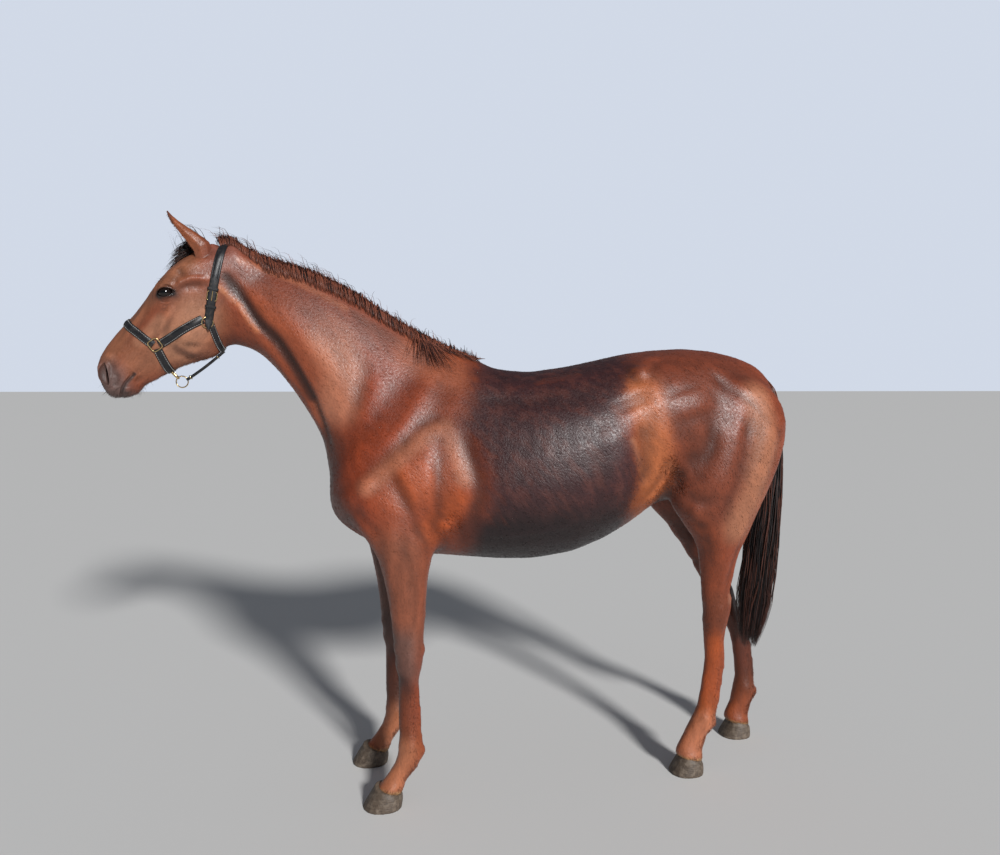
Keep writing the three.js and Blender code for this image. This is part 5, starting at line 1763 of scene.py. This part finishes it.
stand = relief(skin, 14)
face = kept["face"]
size = 0.0016 * (1 - face) + 0.0013 * face
stand = average(np.clip(stand / size, -1, 1), edges_of(skin), 2) * (1 - 0.35 * face)
keep(skin, "relief", stand)
print("relief from", round(float(stand.min()), 2), "to", round(float(stand.max()), 2))

# %% [markdown]
# ## Materials
# The grain of short hair is a noise stretched along the way the hair lies: to the rear and down
# on the body, straight down on the legs, along the face on the head. A Mapping node set to
# TEXTURE turns first and scales after, so its rotation is the lie and its scale the size of the
# grain in metres. The grain is one node group, because the skin and its short hairs share it.

# %% A plain start for every material, and nodes by name
def shader(name, colour, roughness, metallic=0.0, specular=0.5):
    """A new material whose main shader has the given constants."""
    material = bpy.data.materials.new(name)
    material.use_nodes = True
    main = material.node_tree.nodes["Principled BSDF"]
    main.inputs["Base Color"].default_value = (*colour, 1)
    main.inputs["Roughness"].default_value = roughness
    main.inputs["Metallic"].default_value = metallic
    # Hair that stands on the skin sits on a small patch of the skin's own map, at the place where it grows.
    # So the skin is unwrapped once all its cuts are made.
    main.inputs["Specular IOR Level"].default_value = specular
    return material


def wear(piece, material):
    """Gives a piece this material and no other."""
    piece.data.materials.clear()
    piece.data.materials.append(material)


class Bench:
    """Adds nodes to a tree and links them as they are made."""

    def __init__(self, tree):
        self.tree = tree

    def node(self, kind, links=(), **settings):
        """A new node, with its settings, and a socket or a constant for each of its inputs."""
        made = self.tree.nodes.new("ShaderNode" + kind)
        for key, value in settings.items():
            setattr(made, key, value)
        for socket, source in dict(links).items():
            if isinstance(source, bpy.types.NodeSocket):
                self.tree.links.new(source, made.inputs[socket])
            else:
                made.inputs[socket].default_value = source
        return made

    def math(self, operation, first, second=0.5, third=0.0):
        return self.node("Math", {0: first, 1: second, 2: third}, operation=operation).outputs[0]

    def mix(self, share, first, second, blend="MIX"):
        """A colour between two others; each is a socket or three numbers."""
        links = {0: share}
        for socket, colour in ((6, first), (7, second)):
            links[socket] = colour if isinstance(colour, bpy.types.NodeSocket) else (*colour, 1)
        return self.node("Mix", links, data_type="RGBA", blend_type=blend).outputs[2]

    def shade(self, colour, amount):
        """A colour made darker below 1 and lighter above it."""
        tone = self.node("CombineColor", {0: amount, 1: amount, 2: amount}).outputs[0]
        return self.mix(1.0, colour, tone, "MULTIPLY")

    def blend(self, share, first, second):
        """A value between two others."""
        return self.node("Mix", {0: share, 2: first, 3: second}, data_type="FLOAT").outputs[0]

    def noise(self, place, size, turn=(0, 0, 0), detail=3.0, rough=0.55):
        """A noise whose lumps have the given size in metres and lie at a turn."""
        laid = self.node("Mapping", {"Vector": place, "Rotation": turn, "Scale": size}, vector_type="TEXTURE")
        links = {"Vector": laid.outputs[0], "Scale": 1.0, "Detail": detail, "Roughness": rough}
        return self.node("TexNoise", links).outputs["Fac"]

    def ramp(self, value, low, high):
        """0 below low, 1 above high, smooth between."""
        links = {"Value": value, "From Min": low, "From Max": high}
        return self.node("MapRange", links, interpolation_type="SMOOTHSTEP").outputs[0]

    def read(self, key, output="Fac"):
        """What the mesh keeps under a name."""
        return self.node("Attribute", attribute_name=key).outputs[output]

    def place(self):
        return self.node("TexCoord").outputs["Object"]

    def bump(self, height, distance, strength=1.0, normal=None):
        links = {"Height": height, "Distance": distance, "Strength": strength}
        if normal:
            links["Normal"] = normal
        return self.node("Bump", links).outputs[0]

    def finish(self, colour, roughness, normal=None):
        """Leads a colour, a roughness and a normal to the main shader."""
        main = self.tree.nodes["Principled BSDF"]
        for socket, source in (("Base Color", colour), ("Roughness", roughness), ("Normal", normal)):
            if source:
                self.tree.links.new(source, main.inputs[socket])


def group(name, inputs, outputs):
    """A node group with named sockets, each given as name: kind."""
    tree = bpy.data.node_groups.new(name, "ShaderNodeTree")
    for in_out, sockets in (("INPUT", inputs), ("OUTPUT", outputs)):
        for key, kind in sockets.items():
            tree.interface.new_socket(key, in_out=in_out, socket_type="NodeSocket" + kind)
    return tree, tree.nodes.new("NodeGroupInput").outputs, tree.nodes.new("NodeGroupOutput").inputs


# %% The grain of the coat, as a group
LIE_OF_BODY = math.radians(52)
LIE_OF_FACE = math.radians(128)
grain_tree, given, result = group(
    "coat_grain", {"Place": "Vector", "Leg": "Float", "Face": "Float"},
    {"Hair": "Float", "Clump": "Float", "Streak": "Float"})
bench = Bench(grain_tree)


def three_ways(size, long, detail):
    """One noise for the body, the legs and the face, each stretched along its own lie."""
    body = bench.noise(given["Place"], (size * long, size, size), (0, LIE_OF_BODY, 0), detail)
    leg = bench.noise(given["Place"], (size, size, size * long), (0, 0, 0), detail)
    face = bench.noise(given["Place"], (size * long, size, size), (0, LIE_OF_FACE, 0), detail)
    return bench.blend(given["Face"], bench.blend(given["Leg"], body, leg), face)


hair_height = three_ways(0.0022, 7.0, 2.0)
clump_height = three_ways(0.0060, 1.40, 3.0)
streak = three_ways(0.030, 3.0, 4.0)
for key, value in (("Hair", hair_height), ("Clump", clump_height), ("Streak", streak)):
    grain_tree.links.new(value, result[key])
print("grain group:", len(grain_tree.nodes), "nodes")

# %% [markdown]
# The same colouring serves the skin and the tufts that stand on it, so it is a group as well.
# It breaks the edge of the dark saddle along the hair, darkens the belly and the creases with
# painted shade, lightens the ridges with painted light and speckles the ground colour. The shine
# needs no layer of its own: the group also puts out a roughness that changes from clump to clump,
# and the bump of the clumps scatters the glare.

# %% The colouring of the coat, as a group
# the dark saddle's colours: partly the coat's own, partly painted shade and reflection
SADDLE_DARK, SADDLE_WARM = (0.036, 0.0100, 0.0105), (0.058, 0.0160, 0.0125)
# painted shade on the underside of the belly
BELLY_SHADE_COLOUR = (0.012, 0.005, 0.0055)
colour_tree, given, result = group(
    "coat_colouring",
    {"Paint": "Color", "Saddle": "Float", "Belly": "Float", "Bare": "Float", "Hair": "Float",
     "Clump": "Float", "Streak": "Float", "Relief": "Float"},
    {"Colour": "Color", "Roughness": "Float"})
bench = Bench(colour_tree)
broken = bench.math("MULTIPLY_ADD", bench.math("SUBTRACT", given["Streak"], 0.5), 1.1, given["Saddle"])
edge = bench.ramp(broken, 0.18, 0.88)
warm = bench.mix(bench.ramp(given["Streak"], 0.42, 0.66), SADDLE_DARK, SADDLE_WARM)
dark = bench.mix(given["Belly"], warm, BELLY_SHADE_COLOUR)
ground = bench.mix(bench.math("MAXIMUM", edge, given["Belly"]), given["Paint"], dark)
shade = bench.blend(bench.ramp(given["Streak"], 0.3, 0.7), 0.86, 1.14)
shade = bench.math("MULTIPLY", shade, bench.blend(given["Clump"], 0.86, 1.14))
shade = bench.math("MULTIPLY", shade, bench.blend(given["Hair"], 0.72, 1.28))
# painted shade in the hollows and painted light on the ridges, from the relief
painted_crease_shade_and_ridge_light = bench.node("MapRange", {"Value": given["Relief"], "From Min": -0.9, "From Max": 0.9, "To Min": 0.56,
                               "To Max": 1.26}).outputs[0]
colour_tree.links.new(bench.shade(ground, bench.math("MULTIPLY", shade, painted_crease_shade_and_ridge_light)), result["Colour"])
rough_part = bench.blend(bench.ramp(given["Clump"], 0.32, 0.68), 0.32, 0.52)
colour_tree.links.new(bench.blend(given["Bare"], rough_part, 0.55), result["Roughness"])
print("colouring group:", len(colour_tree.nodes), "nodes")

# %% The skin's coat, and the short hairs: the same groups, a little paler at the tips
COAT_SPECULAR = 0.48


def coat_nodes(bench, relief, hair=None):
    """The two groups in a material, fed with what the mesh keeps; hair stands in for the fine grain."""
    from_mesh = {"Place": bench.place(), "Leg": bench.read("leg"), "Face": bench.read("face")}
    grain = bench.node("Group", from_mesh, node_tree=grain_tree).outputs
    links = {"Paint": bench.read("paint", "Color"), "Relief": relief, "Clump": grain["Clump"],
             "Streak": grain["Streak"], "Hair": hair or grain["Hair"]}
    for key in ("Saddle", "Belly", "Bare"):
        links[key] = bench.read(key.lower())
    return grain, bench.node("Group", links, node_tree=colour_tree).outputs


coat = shader("horse_coat", COPPER, 0.45, specular=COAT_SPECULAR)
bench = Bench(coat.node_tree)
grain, looks = coat_nodes(bench, bench.read("relief"))
clumps = bench.bump(grain["Clump"], 0.0016, 0.70)
bench.finish(looks["Colour"], looks["Roughness"], bench.bump(grain["Hair"], 0.0008, 0.7, clumps))

tuft_coat = shader("horse_coat_hair", COPPER, 0.45, specular=COAT_SPECULAR)
bench = Bench(tuft_coat.node_tree)
grain, looks = coat_nodes(bench, 0.1, 0.5)
tint, along = bench.read("tint"), bench.read("along")
each = bench.math("MULTIPLY", bench.blend(tint, 0.84, 1.24), bench.blend(along, 0.95, 1.25))
bench.finish(bench.shade(looks["Colour"], each), bench.blend(tint, 0.34, 0.52))
for piece in coat_hairs:
    wear(piece, tuft_coat)
print("coat material:", len(coat.node_tree.nodes), "nodes")

# %% [markdown]
# Long hair is made of strands that differ. Each lock's own tint picks between a dark and a red
# colour, and the share of the way along it shifts the choice from root to tip, so one material
# serves thousands of locks. On the dock the short hairs of the tail still have the coat's colour.

# %% The strands of the mane, the forelock and the tail
DOCK_HAIR = (0.150, 0.042, 0.020)
DOCK_HEIGHT = 1.37
NOWHERE = 9.0  # a height above any part of the horse


def hair_shader(name, dark, red, share, roughness, tips=0.22, coat_above=NOWHERE):
    """Strands of two colours; with tips above 0 their ends are redder than their roots.
    Above the height coat_above the strands take the coat's own colour."""
    material = shader(name, dark, roughness, specular=0.6)
    bench = Bench(material.node_tree)
    tint, along = bench.read("tint"), bench.read("along")
    pick = bench.math("MULTIPLY_ADD", along, tips, tint)
    strand = bench.mix(bench.ramp(pick, 1.0 - share, 1.25 - share), dark, red)
    height = bench.node("SeparateXYZ", {0: bench.place()}).outputs[2]
    dock = bench.ramp(height, coat_above - 0.10, coat_above + 0.06)
    strand = bench.mix(dock, strand, DOCK_HAIR)
    grey = bench.noise(bench.place(), (0.004, 0.004, 0.02), (0, 0, 0), 3.0)
    amount = bench.math("MULTIPLY", bench.blend(grey, 0.6, 1.4), bench.blend(tint, 0.75, 1.25))
    bench.finish(bench.shade(strand, amount), bench.blend(grey, 0.30, 0.55), bench.bump(grey, 0.0005, 0.5))
    return material


hair = hair_shader("horse_tail_hair", (0.010, 0.0055, 0.0055), (0.070, 0.020, 0.011), 0.34, 0.4, 0.22,
                   DOCK_HEIGHT)
mane_hair = hair_shader("horse_mane_hair", (0.044, 0.016, 0.013), (0.210, 0.064, 0.036), 0.95, 0.42, -0.55)
forelock_hair = hair_shader("horse_forelock_hair", (0.014, 0.008, 0.008), (0.075, 0.024, 0.014), 0.35, 0.42)
print("coat's colour on the tail above", DOCK_HEIGHT, "m")

# %% [markdown]
# Horn grows down from the coronet, so its rings lie level and its fibres run down the wall. Two
# noises, one flattened and one drawn out, give both, and a third lays dust over them. The newest
# horn, at the top, is the palest.

# %% Horn
horn = shader("hoof_horn", (0.15, 0.115, 0.080), 0.6)
bench = Bench(horn.node_tree)
growth = bench.noise(bench.place(), (0.30, 0.30, 0.0045), (0, math.radians(-9), 0), 3.0)
fibre = bench.noise(bench.place(), (0.0030, 0.0030, 0.060), (0, 0, 0), 3.0)
worn = bench.noise(bench.place(), (0.018, 0.018, 0.018), (0, 0, 0), 4.0)
height = bench.node("SeparateXYZ", {0: bench.place()}).outputs[2]
look = bench.mix(bench.ramp(fibre, 0.38, 0.62), (0.062, 0.044, 0.032), (0.102, 0.072, 0.050))
for mask, share, colour in ((bench.ramp(growth, 0.40, 0.64), 0.4, (0.140, 0.102, 0.070)),
                            (bench.ramp(worn, 0.45, 0.70), 0.6, (0.23, 0.18, 0.135)),
                            (bench.ramp(height, 0.062, 0.088), 0.75, (0.36, 0.27, 0.185))):
    look = bench.mix(bench.math("MULTIPLY", mask, share), look, colour)
fine = bench.bump(fibre, 0.0004, 0.5)
bench.finish(look, bench.blend(worn, 0.45, 0.72), bench.bump(growth, 0.0007, 0.5, fine))
print("horn material:", len(horn.node_tree.nodes), "nodes")

# %% [markdown]
# A horse's pupil is a level bar in a brown iris, and tears keep the whole ball wet. Ellipses
# measured from the middle of the eye give both edges.

# %% Eye
eye_wet = shader("eye_wet", (0.006, 0.004, 0.003), 0.02)
bench = Bench(eye_wet.node_tree)


def ring_of(wide, tall):
    """1 at the edge of an ellipse round the eye's middle, less inside it."""
    links = {"Vector": bench.place(), "Location": (EYE.x, 0, EYE.z), "Scale": (wide, 50, tall)}
    laid = bench.node("Mapping", links, vector_type="TEXTURE")
    return bench.node("VectorMath", {0: laid.outputs[0]}, operation="LENGTH").outputs[1]


spokes = bench.noise(bench.place(), (0.0016, 0.0016, 0.0016), (0, 0, 0), 3.0)
iris = bench.mix(spokes, (0.003, 0.0018, 0.0014), (0.012, 0.005, 0.003))
ball = bench.mix(bench.ramp(ring_of(0.0185, 0.0175), 0.95, 1.15), iris, (0.007, 0.004, 0.0035))
look = bench.mix(bench.ramp(ring_of(0.0100, 0.0058), 0.88, 1.12), (0.0015, 0.0015, 0.002), ball)
tears = bench.noise(bench.place(), (0.004, 0.004, 0.004), (0, 0, 0), 2.0)
bench.finish(look, bench.blend(tears, 0.015, 0.045))
print("eye material:", len(eye_wet.node_tree.nodes), "nodes")

# %% [markdown]
# The lids' rims are wet dark skin. The halter is black leather, grained and worn paler along its
# creases, sewn with pale thread that has soiled, and its brass has dulled in patches. Each of
# them is one noise that drives colour, roughness and bump together, so they change in step.

# %% Lid rims and thread
rim_dark = shader("lid_rim_wet", (0.010, 0.007, 0.007), 0.12)
bench = Bench(rim_dark.node_tree)
folds = bench.noise(bench.place(), (0.0014, 0.0014, 0.0030), (0, 0, 0), 3.0)
look = bench.mix(folds, (0.006, 0.004, 0.004), (0.020, 0.013, 0.012))
bench.finish(look, bench.blend(folds, 0.10, 0.34), bench.bump(folds, 0.0003, 0.5))

thread = shader("stitching_thread", (0.52, 0.51, 0.50), 0.6)
bench = Bench(thread.node_tree)
soiled = bench.noise(bench.place(), (0.020, 0.020, 0.020), (0, 0, 0), 4.0)
twist = bench.noise(bench.place(), (0.0006, 0.0006, 0.0006), (0, 0, 0), 2.0)
look = bench.mix(bench.ramp(soiled, 0.35, 0.75), (0.60, 0.59, 0.58), (0.26, 0.24, 0.22))
bench.finish(look, bench.blend(twist, 0.50, 0.75), bench.bump(twist, 0.0003, 0.6))
print("rim and thread:", len(rim_dark.node_tree.nodes), "and", len(thread.node_tree.nodes), "nodes")

# %% Leather and brass
leather = shader("halter_leather", (0.010, 0.010, 0.012), 0.34)
bench = Bench(leather.node_tree)
pebble = bench.node("TexVoronoi", {"Vector": bench.place(), "Scale": 900.0}).outputs["Distance"]
crease = bench.noise(bench.place(), (0.012, 0.012, 0.012), (0, 0, 0), 4.0)
look = bench.mix(bench.ramp(crease, 0.50, 0.70), (0.009, 0.009, 0.011), (0.030, 0.024, 0.021))
fine = bench.bump(pebble, 0.0003, 0.5)
bench.finish(look, bench.blend(crease, 0.24, 0.52), bench.bump(crease, 0.0008, 0.5, fine))

brass = shader("halter_brass", (0.72, 0.52, 0.24), 0.25, 1.0)
bench = Bench(brass.node_tree)
tarnish = bench.noise(bench.place(), (0.006, 0.006, 0.006), (0, 0, 0), 5.0)
dull = bench.ramp(tarnish, 0.46, 0.68)
look = bench.mix(dull, (0.78, 0.58, 0.29), (0.40, 0.27, 0.12))
bench.finish(look, bench.blend(dull, 0.16, 0.42), bench.bump(tarnish, 0.0003, 0.4))
print("leather and brass:", len(leather.node_tree.nodes), "and", len(brass.node_tree.nodes), "nodes")

# %% Give every piece its material
wear(skin, coat)
wear(mane, mane_hair)
wear(whiskers, forelock_hair)
wear(forelock, forelock_hair)
for piece in (tail_hair, tail_body):
    wear(piece, hair)
for piece in hooves:
    wear(piece, horn)
for piece in eyes:
    wear(piece, eye_wet)
for piece in rims:
    wear(piece, rim_dark)
for piece in straps:
    wear(piece, leather)
for piece in rings + keepers:
    wear(piece, brass)
wear(stitching, thread)
print("materials:", len(bpy.data.materials))

# %% Hang every piece on the model
dressed = [skin, mane, forelock, tail_hair, tail_body, stitching, whiskers]
dressed += coat_hairs + hooves + eyes + rims + straps + rings + keepers
for piece in dressed:
    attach(piece, "root")
print("pieces:", len(dressed))

# %% [markdown]
# ## Studio
# A horse is looked at outdoors or in a bright yard. A pale floor, one soft light from behind the
# camera's right shoulder and a pale world that fills the shadows show its form and its coat
# without telling of any place. The camera stands where a person would, at eye height.

# %% Floor, light and camera
bpy.ops.object.select_all(action="DESELECT")
bpy.ops.mesh.primitive_plane_add(size=600, location=(0, 0, -0.0005))
floor = name_piece(bpy.context.object, "floor")
wear(floor, shader("pale_floor", (0.74, 0.73, 0.71), 0.9))
floor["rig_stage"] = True

world = bpy.data.worlds.new("pale_room")
world.use_nodes = True
sky = world.node_tree.nodes["Background"]
sky.inputs["Color"].default_value = (0.80, 0.87, 1.0, 1)
bench = Bench(world.node_tree)
seen = bench.node("LightPath").outputs["Is Camera Ray"]
world.node_tree.links.new(bench.blend(seen, 0.16, 0.80), sky.inputs["Strength"])
bpy.context.scene.world = world
bpy.context.scene.view_settings.view_transform = "Standard"

bpy.ops.object.light_add(type="SUN", location=(2.0, -4.7, 4.0))
key = bpy.context.object
key.data.energy = 3.5
key.data.angle = math.radians(9)
key.rotation_euler = Vector((-0.34, 0.82, -0.45)).to_track_quat("-Z", "Y").to_euler()

CAMERA_TILT, CAMERA_TURN = math.radians(86.77), math.radians(-9.1)
bpy.ops.object.camera_add(location=(-0.295, -2.645, 1.5), rotation=(CAMERA_TILT, 0, CAMERA_TURN))
camera = bpy.context.object
camera.data.lens = 25.2
camera.data.sensor_width = 36
bpy.context.scene.camera = camera
print("camera at", tuple(round(value, 3) for value in camera.location))

# %% Measure the finished model and close
low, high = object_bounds()
print("size of the visual:", [round(h - l, 3) for l, h in zip(low, high)])
